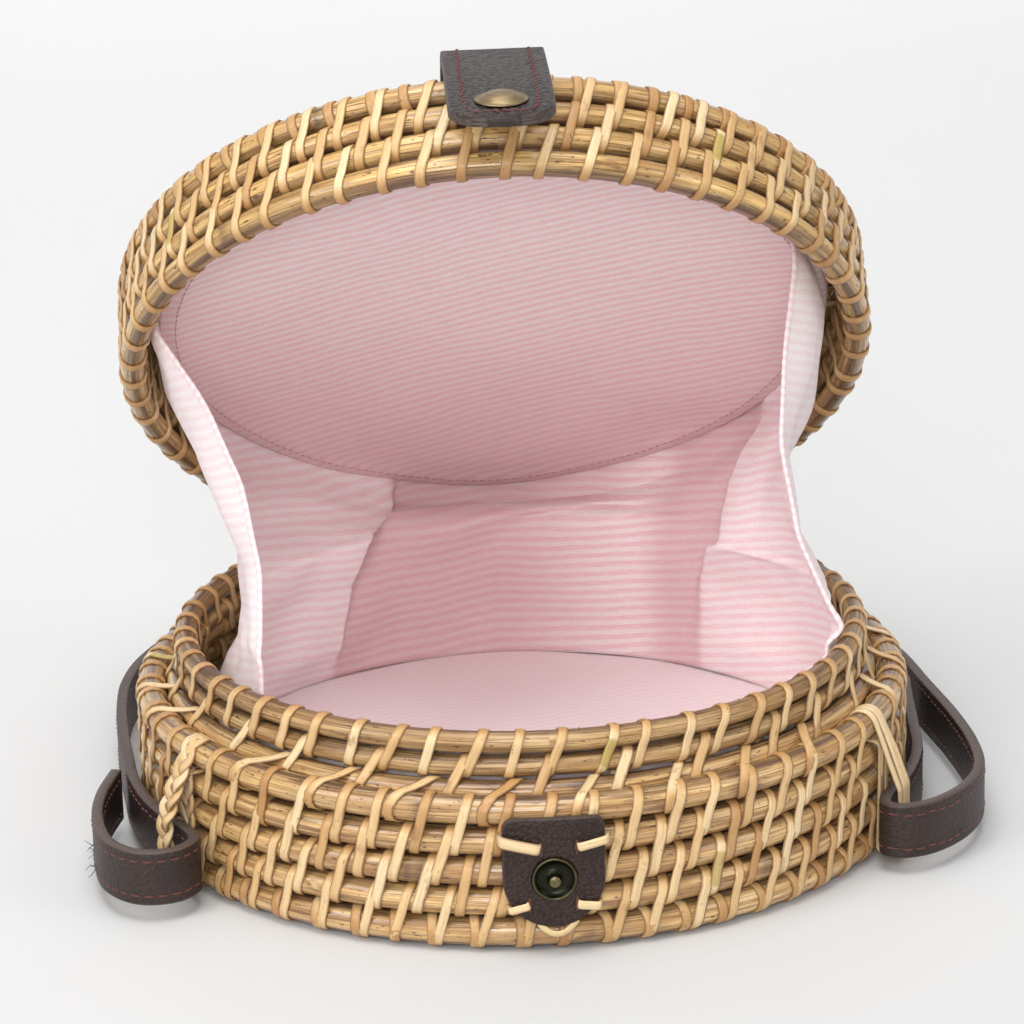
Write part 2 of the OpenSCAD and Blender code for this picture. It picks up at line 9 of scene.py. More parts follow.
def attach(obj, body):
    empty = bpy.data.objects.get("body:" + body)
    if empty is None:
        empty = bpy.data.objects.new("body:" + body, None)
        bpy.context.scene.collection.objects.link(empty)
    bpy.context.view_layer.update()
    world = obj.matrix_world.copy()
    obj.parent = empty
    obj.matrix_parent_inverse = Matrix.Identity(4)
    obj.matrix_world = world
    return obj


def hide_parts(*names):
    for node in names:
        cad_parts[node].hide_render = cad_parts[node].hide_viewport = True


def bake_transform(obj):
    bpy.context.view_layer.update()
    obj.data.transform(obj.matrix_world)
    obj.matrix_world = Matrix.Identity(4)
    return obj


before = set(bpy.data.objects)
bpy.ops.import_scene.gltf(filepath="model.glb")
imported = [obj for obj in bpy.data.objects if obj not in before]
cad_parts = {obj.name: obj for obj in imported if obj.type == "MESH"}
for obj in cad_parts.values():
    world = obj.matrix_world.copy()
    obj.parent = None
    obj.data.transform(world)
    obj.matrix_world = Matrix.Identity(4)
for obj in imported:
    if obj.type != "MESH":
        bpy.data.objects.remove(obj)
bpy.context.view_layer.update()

# Lengths are in millimetres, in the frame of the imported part; build scales the meshes to metres.
MM = 0.001
PI = math.pi
UP = np.array([0, 0, 1.0])

# The part's sizes. R is a radius from the bag's axis, D a rod's diameter, T a thickness, W a width, L a
# length, and Z, LOW and TOP heights. The mouths are the gusset's two ends, in degrees from the front.
CANE_CLEAR, CANE_T, CANE_W = 0.05, 0.6, 2.75
WALL_R, WALL_D, WALL_LOW, WALL_PITCH, WALL_ROWS = 100.3, 7.3, 4.45, 8.1, 5
WALL_TOP = WALL_LOW + (WALL_ROWS - 1) * WALL_PITCH
LEDGE_R, LEDGE_Z, LEDGE_D = 93.0, 38.65, 6.0
COLLAR_R, COLLAR_LOW, COLLAR_TOP, COLLAR_D = 90.6, 44.8, 51.05, 5.5
FLOOR_Z, FLOOR_D, FLOOR_RINGS, FLOOR_CORE = 4.25, 7.2, 12, 3.9
LID_R, LID_D, LID_RIM, LID_PITCH, LID_ROWS = 99.2, 6.6, 45.55, 7.45, 4
FACE_Z, FACE_RINGS, FACE_CORE = 67.9, 13, 3.6
FLOOR_PITCH = (WALL_R - FLOOR_CORE) / FLOOR_RINGS
FACE_PITCH = (LID_R - FACE_CORE) / FACE_RINGS
LOOPS = 60
HINGE = np.array([0, 100.0, 41.35])
SKEW = math.radians(-2.2)
HINGE_AXIS = np.array([-math.cos(SKEW), 0, math.sin(SKEW)])
LID_OPEN = math.radians(45.2)
HINGE_FREE, TIE_ANGLE = 16, 7
RING_LEFT, RING_RIGHT = -60, 59
BASE_MOUTH, LID_MOUTH = (-63, 65), (-75, 63)
PANEL_R, PANEL_LOW, PANEL_TOP = 88.2, 8.75, 11.35
LINING_R, KNEE_Z, CREST_Z = 86.95, 41.35, 54.45
LID_PANEL_R, LID_PANEL_LOW, LID_PANEL_TOP = 90.5, 57.15, 63.35
GUSSET_T, LINING_T = 0.7, 0.6
LEATHER_T = 3.0
STRAP_W, STRAP_LOW, STRAP_SPAN = 14.5, 4.6, 104.6
CLOSURE_X, SNAP_Z = -0.5, 21
TAB_W, TAB_Z, FOLD_Y = 26, 73.65, -108.6
FLAP_L, SNAP_REACH, FLAP_SLOPE = 63.65, 52.65, math.radians(40.3)
PATCH_IN_R, PATCH_T, PATCH_HALF, PATCH_LOW, PATCH_TOP = 105.4, 1.8, 12.75, 8, 37
PATCH_OUT_R, SLOT_R = PATCH_IN_R + PATCH_T, 106.6
CAP_SEAT, SOCKET_SEAT, STUD_SEAT = 2.25, 1.0, 0.05


def turn(axis, angle):
    return np.array(Matrix.Rotation(angle, 3, Vector(axis)))


LID_TURN = turn(HINGE_AXIS, LID_OPEN)


def as_is(p):
    return p


def opened(p):
    """Points of the closed lid, as they stand with the lid open."""
    return (np.asarray(p, float) - HINGE) @ LID_TURN.T + HINGE


def stacked(*parts):
    """Values stretched to one shape and joined as the last axis."""
    return np.stack(np.broadcast_arrays(*parts), -1)


def circle(n):
    """Angles that cut a circle in n parts, both ends included."""
    return np.linspace(0, 2 * PI, n + 1)


def around(r, a, z):
    """Points at radius r, angle a from the front in degrees, and height z."""
    a = np.radians(a)
    return stacked(r * np.sin(a), -r * np.cos(a), z).astype(float)


def directions(a):
    """Level directions outward and sideways at angle a from the front."""
    a = math.radians(a)
    return np.array([math.sin(a), -math.cos(a), 0]), np.array([math.cos(a), math.sin(a), 0])


def smoothstep(x, lo, hi):
    t = np.clip((np.asarray(x, float) - lo) / (hi - lo), 0, 1)
    return t * t * (3 - 2 * t)


def smooth_path(p, steps):
    """A smooth curve through the points p, with that many steps between two of them."""
    p = np.asarray(p, float)
    n, out = len(p), []
    for i in range(n - 1):
        a, b, c, d = p[max(i - 1, 0)], p[i], p[i + 1], p[min(i + 2, n - 1)]
        for u in np.arange(steps) / steps:
            out.append(b + u * (c - a) / 2 + u * u * (a - 2.5 * b + 2 * c - d / 2)
                       + u ** 3 * (1.5 * b - a / 2 - 1.5 * c + d / 2))
    return np.array(out + [p[-1]])


def lengths(p):
    """Length along the points p up to each of them."""
    return np.concatenate([[0], np.cumsum(np.linalg.norm(np.diff(p, axis=0), axis=1))])


def at_lengths(t, s, p):
    """The points at lengths t along p, where s has the length up to each point of p."""
    return np.stack([np.interp(t, s, column) for column in p.T], -1)


def resample(p, n):
    """The points p, spread evenly to n points."""
    s = lengths(p)
    return at_lengths(np.linspace(0, s[-1], n), s, p)


def unit(v):
    return v / np.maximum(np.linalg.norm(v, axis=-1, keepdims=True), 1e-12)


def heading(p, closed=False):
    """Direction of a path at each of its points."""
    return unit(np.roll(p, -1, 0) - np.roll(p, 1, 0) if closed else np.gradient(p, axis=0))


def squared(v, ahead):
    """The direction v, made square to ahead."""
    return unit(v - (v * ahead).sum(-1, keepdims=True) * ahead)


# Meshes

class Shell:
    """Grids of quads gathered into one mesh. A corner has a grain (its place in the material) and a tint."""

    def __init__(self):
        self.verts, self.quads, self.grain, self.tint, self.caps = [], [], [], [], []
        self.count = 0

    @staticmethod
    def fitted(values, shape, wrap, tail=()):
        """Values of a grid's points, repeated where the grid closes and stretched to all of its corners."""
        values = np.asarray(values)
        for axis in (0, 1):
            if wrap[axis] and values.ndim > axis and values.shape[axis] == shape[axis]:
                values = np.concatenate([values, values.take([0], axis)], axis)
        return np.broadcast_to(values, (shape[0] + wrap[0], shape[1] + wrap[1]) + tail)

    def add(self, p, wrap, grain, tint, caps=False, cut=None):
        """A grid of points that closes where wrap says so. cut is the caps' tint, if they have their own."""
        m, n = p.shape[:2]
        i, j = np.meshgrid(np.arange(m - 1 + wrap[0]), np.arange(n - 1 + wrap[1]), indexing="ij")
        i, j = i.ravel(), j.ravel()
        ci, cj = np.stack([i, i + 1, i + 1, i], 1), np.stack([j, j, j + 1, j + 1], 1)
        grain, tint = self.fitted(grain, (m, n), wrap, (3,)), self.fitted(tint, (m, n), wrap)
        self.quads.append(ci % m * n + cj % n + self.count)
        self.grain.append(grain[ci, cj])
        self.tint.append(tint[ci, cj])
        self.verts.append(p.reshape(-1, 3))
        if caps:
            ends = tint if cut is None else np.full(tint.shape, cut)
            ring = np.arange(n)
            for row, order in ((0, ring[::-1]), (m - 1, ring)):
                corners = (row * n + self.count + order).tolist()
                self.caps.append((corners, grain[row, order], ends[row, order]))
        self.count += m * n

    def build(self, name, material, body, slot, replaces=(), ride=True):
        verts = np.concatenate(self.verts) * MM
        faces = np.concatenate(self.quads).tolist() + [c[0] for c in self.caps]
        grain = np.concatenate([np.concatenate(self.grain).reshape(-1, 3)] + [c[1] for c in self.caps]) * MM
        tint = np.concatenate([np.concatenate(self.tint).ravel()] + [c[2] for c in self.caps])
        mesh = bpy.data.meshes.new(name)
        mesh.from_pydata(verts.tolist(), [], faces)
        for layer, kind, key, values in (("grain", "FLOAT_VECTOR", "vector", grain),
                                         ("tint", "FLOAT", "value", tint)):
            data = mesh.attributes.new(layer, kind, "CORNER").data
            data.foreach_set(key, values.astype(np.float32).ravel())
        mesh.polygons.foreach_set("use_smooth", np.ones(len(faces), bool))
        work = bmesh.new()
        work.from_mesh(mesh)
        bmesh.ops.recalc_face_normals(work, faces=work.faces)
        work.to_mesh(mesh)
        work.free()
        mesh.materials.append(material)
        obj = bpy.data.objects.new(name, mesh)
        bpy.context.scene.collection.objects.link(obj)
        if ride:
            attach(obj, body)
        if replaces:
            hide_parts(*replaces)
        return obj


def tube(shell, pts, radius, along, girth, tint, sides=6, flat=1.0, lean=(0.31, 0.52, 0.79)):
    """A closed tube along the points. along and girth are its grain's lengths; flat presses it down."""
    s1 = unit(np.cross(heading(pts), np.array(lean)))
    s2 = np.cross(heading(pts), s1)
    t = circle(sides)
    c, s = np.cos(t[:-1])[:, None], np.sin(t[:-1])[:, None]
    ring = pts[:, None] + radius[:, None, None] * (c * s1[:, None] + flat * s * s2[:, None])
    shell.add(ring, (False, True), stacked(along[:, None], t * girth, 0.0), tint, caps=True)


def thread(shell, pts, r, seed=0.0):
    """A round thread along the points, tapered into the cloth at both ends."""
    taper = 0.45 + 0.55 * np.sin(np.linspace(0, PI, len(pts)))
    tube(shell, pts, r * taper, lengths(pts) + seed, r, 0.5)


# Materials

def rgb(r, g, b):
    """A colour written in sRGB, 0 to 255, as the renderer takes it."""
    levels = (r / 255, g / 255, b / 255)
    return tuple(c / 12.92 if c <= 10 / 255 else ((c + 0.055) / 1.055) ** 2.4 for c in levels) + (1.0,)


class Look:
    """A material's nodes, put together in code."""

    def __init__(self, name, **fixed):
        self.material = bpy.data.materials.new(name)
        self.material.use_nodes = True
        self.tree = self.material.node_tree
        self.shader = self.tree.nodes["Principled BSDF"]
        self.finish(**fixed)

    def node(self, kind, out=0, props=None, **sockets):
        """A new node's output. A socket is named, or written as its number after a line such as _6."""
        n = self.tree.nodes.new("ShaderNode" + kind)
        for key, value in (props or {}).items():
            setattr(n, key, value)
        for key, value in sockets.items():
            self.put(n.inputs[int(key[1:]) if key[0] == "_" else key], value)
        return n.outputs[out]

    def put(self, socket, value):
        if isinstance(value, bpy.types.NodeSocket):
            self.tree.links.new(value, socket)
        else:
            socket.default_value = value

    def finish(self, **values):
        for key, value in values.items():
            self.put(self.shader.inputs[key.replace("_", " ")], value)
        return self.material

    def attribute(self, name, out="Vector"):
        return self.node("Attribute", out, {"attribute_name": name})

    def scaled(self, vector, scale):
        return self.node("Mapping", Vector=vector, Scale=scale)

    def noise(self, vector, scale, detail=2.0, rough=0.5):
        return self.node("TexNoise", "Fac", Vector=self.scaled(vector, scale), Scale=1.0, Detail=detail,
                         Roughness=rough)

    def ramp(self, fac, *stops):
        socket = self.node("ValToRGB", Fac=fac)
        ramp = socket.node.color_ramp
        while len(ramp.elements) < len(stops):
            ramp.elements.new(0.5)
        for element, (place, colour) in zip(ramp.elements, stops):
            element.position = place
            element.color = colour if hasattr(colour, "__len__") else (colour, colour, colour, 1)
        return socket

    def mix(self, fac, a, b):
        return self.node("Mix", 2, {"data_type": "RGBA"}, _0=fac, _6=a, _7=b)

    def coats(self, colour, *coats):
        """Colours laid over a colour, each as a value, the low and high stop of its ramp, and the colour."""
        for value, low, high, over in coats:
            colour = self.mix(self.ramp(value, low, high), colour, over)
        return colour

    def math(self, operation, a, b=0.0, c=0.0):
        return self.node("Math", 0, {"operation": operation}, _0=a, _1=b, _2=c)

    def times(self, a, b):
        return self.math("MULTIPLY", a, b)

    def plus(self, a, b):
        return self.math("ADD", a, b)

    def wave(self, value, length):
        """A sine of the value with that wavelength."""
        return self.math("SINE", self.times(value, 2 * PI / length))

    def half_up(self, value):
        """A value from -1 to 1 brought to 0 to 1."""
        return self.math("MULTIPLY_ADD", value, 0.5, 0.5)

    def split(self, vector):
        return list(self.node("SeparateXYZ", Vector=vector).node.outputs)

    def bump(self, height, distance, strength):
        return self.node("Bump", Height=height, Distance=distance, Strength=strength)


def rattan_look(name, light, mid, dark, gloss):
    """A peeled rattan rod: fibres along it, brown clouds and dark flecks. A high tint darkens it: at its
    knots, and as painted shade in the crevices where it touches the next rod.
    """
    k = Look(name, IOR=1.5, Coat_Weight=gloss, Coat_Roughness=0.15, Coat_IOR=1.5)
    g = k.attribute("grain")
    fibre = k.noise(g, (55, 2400, 2400), 3.0, 0.6)
    streak = k.noise(g, (28, 700, 700))
    cloud = k.noise(g, (70, 110, 110), 3.0, 0.55)
    fleck = k.noise(g, (360, 1100, 1100), 2.0, 0.6)
    scar = k.noise(g, (38, 130, 130), 4.0, 0.7)
    crack = k.noise(g, (42, 3000, 3000), 2.0, 0.6)
    tone = k.noise(g, (11, 60, 60))
    colour = k.coats(k.ramp(fibre, (0.36, mid), (0.56, light)),
                     (tone, (0.38, 0.4), (0.6, 0.0), rgb(176, 136, 88)),
                     (streak, (0.42, 0.0), (0.66, 0.75), dark),
                     (cloud, (0.36, 0.42), (0.58, 0.0), rgb(168, 122, 66)),
                     (fleck, (0.645, 0.0), (0.68, 0.85), rgb(84, 50, 26)),
                     (crack, (0.6, 0.0), (0.66, 0.6), rgb(112, 72, 40)),
                     (scar, (0.59, 0.0), (0.69, 0.75), rgb(98, 60, 33)))
    # The tint mixes in the dark brown at the knots, and as painted shade in the crevices between rods
    knot = k.times(k.attribute("tint", "Fac"), k.ramp(streak, (0.3, 0.4), (0.6, 0.9)))
    height = k.plus(k.times(fibre, 0.6), k.times(cloud, 0.5))
    height = k.math("SUBTRACT", height, k.ramp(crack, (0.6, 0.0), (0.66, 0.5)))
    return k.finish(Base_Color=k.mix(knot, colour, rgb(74, 46, 27)),
                    Roughness=k.ramp(cloud, (0.3, 0.46), (0.7, 0.26)), Normal=k.bump(height, 0.0006, 0.8))


def cane_look():
    """Split cane: pale, with fibres along the strip, darker along its edges, each loop in its own tone. A low
    tint browns it, and also carries painted shade where a loop passes into the crevices between rods.
    """
    k = Look("cane_strip", IOR=1.5, Coat_Weight=0.3, Coat_Roughness=0.25)
    g = k.attribute("grain")
    fibre = k.noise(g, (90, 3600, 900), 3.0, 0.6)
    stain = k.noise(g, (120, 260, 260), 3.0, 0.6)
    fleck = k.noise(g, (700, 1900, 1900))
    tone = k.ramp(k.attribute("tint", "Fac"), (0.0, rgb(178, 130, 76)), (0.3, rgb(206, 165, 108)),
                  (0.6, rgb(225, 190, 136)), (0.88, rgb(240, 215, 170)), (0.97, rgb(186, 164, 84)))
    from_middle = k.times(k.math("ABSOLUTE", k.split(g)[1]), 700.0)
    colour = k.coats(tone,
                     (fibre, (0.35, 0.38), (0.6, 0.0), rgb(160, 112, 66)),
                     (stain, (0.6, 0.0), (0.75, 0.7), rgb(138, 92, 56)),
                     (fleck, (0.69, 0.0), (0.72, 0.7), rgb(84, 54, 32)),
                     (from_middle, (0.66, 0.0), (0.95, 0.65), rgb(120, 80, 46)))
    return k.finish(Base_Color=colour, Roughness=k.ramp(stain, (0.3, 0.36), (0.7, 0.52)),
                    Normal=k.bump(fibre, 0.00025, 0.5))


def cotton_look(name, pitch, warm=0.0):
    """Woven cotton, striped across the grain's second direction. tint runs from a deep pink, which is painted
    shade, to nearly white.
    """
    k = Look(name, Roughness=0.9, IOR=1.45, Sheen_Weight=0.25, Sheen_Roughness=0.5, Specular_IOR_Level=0.2,
             Sheen_Tint=rgb(255, 236, 240))
    yarn = 0.00052
    g = k.attribute("grain")
    along, across, _ = k.split(g)
    warp = k.noise(g, (500, 2600, 1), 2.0, 0.6)
    weft = k.noise(g, (2600, 420, 1), 2.0, 0.6)
    slub = k.noise(g, (140, 3800, 1), 2.0, 0.6)
    place = k.plus(across, k.times(k.noise(g, (26, 26, 1)), pitch * 1.5 * MM))
    stripe = k.ramp(k.half_up(k.wave(place, pitch * MM)), (0.3, 0.0), (0.7, 1.0))
    pink = k.mix(k.ramp(warp, (0.3, 0.0), (0.7, 1.0)), rgb(234, 191, 196), rgb(243, 213, 216))
    white = k.mix(k.ramp(warp, (0.3, 0.0), (0.7, 1.0)), rgb(240, 225, 226), rgb(249, 243, 243))
    weave = k.times(k.wave(along, yarn), k.wave(across, yarn))
    colour = k.coats(k.mix(stripe, white, pink),
                     (weft, (0.3, 0.3), (0.65, 0.0), rgb(229, 194, 199)),
                     (slub, (0.52, 0.0), (0.62, 0.5), rgb(250, 243, 243)),
                     (k.half_up(weave), (0.25, 0.3), (0.75, 0.0), rgb(214, 168, 176)))
    tint = k.attribute("tint", "Fac")
    # A tint under 0.12 lays painted shade, a deeper pink, over the cloth; a higher tint pales it toward white
    colour = k.coats(k.mix(warm, colour, rgb(228, 206, 190)),
                     (tint, (0.0, 0.5), (0.12, 0.0), rgb(196, 146, 152)),
                     (tint, (0.12, 0.0), (1.0, 1.0), rgb(252, 246, 246)))
    height = k.plus(k.times(weave, 0.25), k.plus(k.times(warp, 0.6), k.times(weft, 0.6)))
    return k.finish(Base_Color=colour, Normal=k.bump(height, 0.00018, 0.55))


def leather_look(name, base, light, dark, pebble, depth, gloss, pit_shade, stretch=1.0, pit=(0.35, 0.7)):
    """Grained leather: pebble is the number of pebbles in a metre, pit where their rims begin and end. The
    rims, the valleys between the pebbles, are darkened with painted shade.
    """
    k = Look(name, IOR=1.42, Coat_Weight=gloss, Coat_Roughness=0.35)
    g = k.attribute("grain")
    bend = k.node("TexNoise", "Color", Vector=k.scaled(g, (300, 300, 300)), Scale=1.0, Detail=2.0)
    bent = k.node("Mix", 1, {"data_type": "VECTOR"}, _0=0.0012, _4=g, _5=bend)
    cell = k.node("TexVoronoi", "Distance", {"feature": "SMOOTH_F1"}, Scale=1.0, Smoothness=0.35,
                  Vector=k.scaled(bent, (pebble * stretch, pebble / stretch, pebble)))
    fine = k.noise(g, (pebble * 2.6,) * 3, 3.0, 0.6)
    cloud = k.noise(g, (55, 55, 55), 3.0, 0.5)
    # The coats: light clouds, then painted shade in the valleys between the pebbles
    colour = k.coats(base,
                     (cloud, (0.35, 0.0), (0.65, 1.0), light),
                     (cell, (pit[0], 0.0), (pit[1], pit_shade), dark))
    height = k.plus(k.times(cell, -1.0), k.times(fine, 0.25))
    return k.finish(Base_Color=k.mix(k.attribute("tint", "Fac"), colour, rgb(84, 69, 64)),
                    Roughness=k.ramp(fine, (0.3, 0.42), (0.7, 0.6)), Normal=k.bump(height, depth, 0.8))


def thread_look(name, colour, shade):
    k = Look(name, Roughness=0.75, Sheen_Weight=0.2)
    ply = k.noise(k.attribute("grain"), (2400, 900, 900), 1.0, 0.5)
    return k.finish(Base_Color=k.coats(shade, (ply, (0.35, 0.0), (0.65, 1.0), colour)),
                    Normal=k.bump(ply, 0.0001, 0.6))


def metal_look(name, bright, dark, rough, brush):
    k = Look(name, Metallic=1.0)
    g = k.attribute("grain")
    fine = k.noise(g, brush, 3.0, 0.6)
    cloud = k.noise(g, (260, 260, 260), 4.0, 0.6)
    colour = k.coats(bright, (cloud, (0.35, 0.0), (0.7, 0.8), dark))
    return k.finish(Base_Color=k.mix(k.attribute("tint", "Fac"), colour, rgb(24, 30, 28)),
                    Roughness=k.ramp(fine, (0.3, rough - 0.08), (0.7, rough + 0.12)),
                    Normal=k.bump(fine, 0.00004, 0.5))


ROD = rattan_look("rattan_rod", rgb(240, 203, 140), rgb(206, 157, 94), rgb(126, 76, 34), 0.85)
COLLAR_ROD = rattan_look("rattan_collar", rgb(214, 181, 130), rgb(176, 138, 88), rgb(104, 70, 38), 0.25)
LID_ROD = rattan_look("rattan_lid", rgb(242, 204, 132), rgb(210, 160, 90), rgb(128, 80, 34), 0.85)
CANE = cane_look()
LID_COTTON = cotton_look("cotton_lid", 3.1, 0.12)
COTTON = cotton_look("cotton", 2.75)
HEM_COTTON = cotton_look("cotton_hem", 2.6)
PANEL_THREAD = thread_look("thread_panel", rgb(206, 158, 160), rgb(166, 118, 120))
PEBBLED = leather_look("leather_pebbled", rgb(66, 51, 47), rgb(88, 69, 62), rgb(8, 5, 5),
                       800, 0.002, 0.16, 1.0, 1.3, (0.28, 0.56))
STRAP_LEATHER = leather_look("leather_strap", rgb(44, 32, 29), rgb(58, 42, 37), rgb(28, 20, 18),
                             1350, 0.0003, 0.1, 0.5)
PLAIN_LEATHER = leather_look("leather_smooth", rgb(42, 25, 20), rgb(58, 36, 29), rgb(25, 15, 12),
                             1150, 0.0004, 0.03, 0.75)
SLOT_LEATHER = thread_look("leather_slot", rgb(104, 52, 34), rgb(52, 28, 20))
RED_THREAD = thread_look("thread_red", rgb(130, 58, 46), rgb(84, 36, 30))
TAB_THREAD = thread_look("thread_tab", rgb(114, 48, 39), rgb(70, 31, 27))
DARK_THREAD = thread_look("thread_dark", rgb(60, 42, 38), rgb(34, 24, 22))
BRASS = metal_look("brass_antique", rgb(158, 138, 102), rgb(104, 86, 58), 0.34, (300, 4000, 300))
CAP_BRASS = metal_look("brass_cap", rgb(158, 138, 106), rgb(116, 98, 72), 0.42, (400, 900, 300))
ENAMEL = metal_look("brass_dark", rgb(128, 118, 86), rgb(86, 78, 54), 0.36, (300, 3000, 300))


# Rods

class Rod:
    """A rattan rod bent to a ring, with the slight wander and the knots of a grown rod."""

    SWAY = 0.16
    KNOT_EVERY = 210
    SIDES = 16

    def __init__(self, r, z, d, seed):
        rng = np.random.default_rng(seed)
        self.r, self.z, self.d, self.seed = r, z, d, seed
        size = np.clip(r / 100, 0.05, 1) * self.SWAY
        self.waves = [(k, rng.uniform(0, 2 * PI, 3), rng.uniform(0.3, 1, 3) / k ** 0.5 * size)
                      for k in range(2, 11)]
        count = max(1, int(round(2 * PI * r / self.KNOT_EVERY)))
        self.knots = [(rng.uniform(0, 360), rng.uniform(0.18, 0.4)) for _ in range(count)]

    def wave(self, a, which):
        return sum(size[which] * np.sin(k * np.radians(a) + start[which]) for k, start, size in self.waves)

    def knot(self, a):
        """How near the angle is to a knot, 0 to 1, and how far the rod swells there."""
        near, swell = 0.0, 0.0
        for place, size in self.knots:
            off = np.abs((np.asarray(a) - place + 180) % 360 - 180) * np.radians(1) * self.r
            near = near + np.exp(-(off / 1.6) ** 2)
            swell = swell + size * np.exp(-(off / 2.4) ** 2)
        return near, swell

    def centre(self, a):
        return self.r + 0.5 * self.wave(a, 0), self.z + 0.22 * self.wave(a, 1)

    def half(self, a):
        return (self.d + 0.3 * self.wave(a, 2) + self.knot(a)[1]) / 2

    def mesh(self, shell, place, flat):
        """Adds the rod, with painted shade in its crevices, where it touches the next rod; the crevices lie
        level if the rods lie flat.
        """
        n = max(36, int(2 * PI * self.r / 1.9))
        a = np.arange(n + 1)[:, None] * 360 / n
        r, z = self.centre(a)
        th = circle(self.SIDES)
        out, up = self.half(a) * np.cos(th), self.half(a) * np.sin(th)
        grain = stacked(np.radians(a) * self.r + self.seed * 61.7, out, up + self.seed * 3.3)
        # Painted shade in the crevices, where the rod touches its neighbours, carried in the tint
        crevice_shade = smoothstep(np.abs(np.cos(th) if flat else np.sin(th)), 0.55, 0.98)
        tint = np.clip(self.knot(a)[0] * 0.85 + 0.95 * crevice_shade, 0, 1)
        shell.add(place(around(r + out, a, z + up))[:n, :self.SIDES], (True, True), grain, tint)


def flat_rods(r_outer, pitch, count, z, d, seed):
    return [Rod(r_outer - k * pitch, z, d, seed + k) for k in range(1, count + 1)]


wall = [Rod(WALL_R, WALL_LOW + k * WALL_PITCH, WALL_D, 10 + k) for k in range(WALL_ROWS)]
ledge = Rod(LEDGE_R, LEDGE_Z, LEDGE_D, 21)
collar = [Rod(COLLAR_R, COLLAR_LOW, COLLAR_D, 31), Rod(COLLAR_R, COLLAR_TOP, COLLAR_D, 32)]
floor_rods = flat_rods(WALL_R, FLOOR_PITCH, FLOOR_RINGS, FLOOR_Z, FLOOR_D, 40)
lid_wall = [Rod(LID_R, LID_RIM + (LID_ROWS - k) * LID_PITCH, LID_D, 60 + k) for k in range(1, LID_ROWS + 1)]
face_rods = flat_rods(LID_R, FACE_PITCH, FACE_RINGS, FACE_Z, LID_D, 70)


def build_rods(name, rods, material, node, body="basket", place=as_is, flat=False):
    shell = Shell()
    for rod in rods:
        rod.mesh(shell, place, flat)
    shell.build(name, material, body, "rattan", (node,))


for k, rod in enumerate(wall, 1):
    build_rods(f"wall_rod_{k}", [rod], ROD, f"base_wall_coil_{k}")
build_rods("ledge_rod", [ledge], ROD, "base_ledge_coil")
build_rods("collar_rod_lower", collar[:1], COLLAR_ROD, "base_collar_coil_lower")
build_rods("collar_rod_upper", collar[1:], COLLAR_ROD, "base_collar_coil_upper")
build_rods("floor_rods", floor_rods, ROD, "base_floor_coils", flat=True)
for k, rod in enumerate(lid_wall, 1):
    build_rods(f"lid_rod_{k}", [rod], LID_ROD, f"lid_wall_coil_{k}", "lid", opened)
build_rods("lid_face_rods", face_rods, LID_ROD, "lid_face_coils", "lid", opened, True)


# Cane loops

# A strip's cross-section, as shares of its width and thickness
STRIP = np.array([(-0.5, 0.05), (-0.5, 0.72), (-0.24, 0.97), (0.24, 0.97), (0.5, 0.72), (0.5, 0.05)])
# How far a row's loops are turned on from the row before, in degrees, and how far a loop slants
SHIFT, SLANT = 2.75, 2.1


def belt(p, rp, q, rq):
    """Outline of a band laid round two circles, with its outward directions."""
    n, straight = 7, 3
    p, q = np.asarray(p, float), np.asarray(q, float)
    d, b = np.linalg.norm(q - p), math.atan2(q[1] - p[1], q[0] - p[0])
    w = math.acos(max(-1, min(1, (rp - rq) / d)))
    pts, nrm = [], []
    for c, r, a0, a1 in ((p, rp, b + w, b + 2 * PI - w), (q, rq, b - w, b + w)):
        for t in np.linspace(a0, a1, n):
            nrm.append(np.array([math.cos(t), math.sin(t)]))
            pts.append(c + r * nrm[-1])
    out_p, out_n = [], []
    for k in range(2 * n):
        out_p.append(pts[k])
        out_n.append(nrm[k])
        if k in (n - 1, 2 * n - 1):
            for f in np.arange(1, straight) / straight:
                sink = 0.35 * math.sin(PI * f)
                out_p.append(pts[k] * (1 - f) + pts[(k + 1) % (2 * n)] * f - nrm[k] * sink)
                out_n.append(nrm[k])
    return np.array(out_p), np.array(out_n)


def strip_mesh(shell, pts, nrm, side, width, thick, tint, offset, closed=True):
    """A flat strip of cane along the points, its face toward nrm and its width along side."""
    across, deep = (STRIP * (width, thick)).T
    p = pts[:, None] + across[:, None] * side[:, None] + deep[:, None] * nrm[:, None]
    s = lengths(np.vstack([pts, pts[:1]]) if closed else pts)
    grain = stacked(s[:, None] + offset, across, deep + offset * 0.37)
    shell.add(p, (closed, True), grain, tint, caps=not closed)


def cane_tone(rng):
    """Mostly pale strips, a few brown ones, and now and then a greenish one."""
    pick = rng.uniform()
    return rng.uniform(*((0.02, 0.28) if pick < 0.14 else (0.95, 1.0) if pick > 0.985 else (0.35, 0.9)))


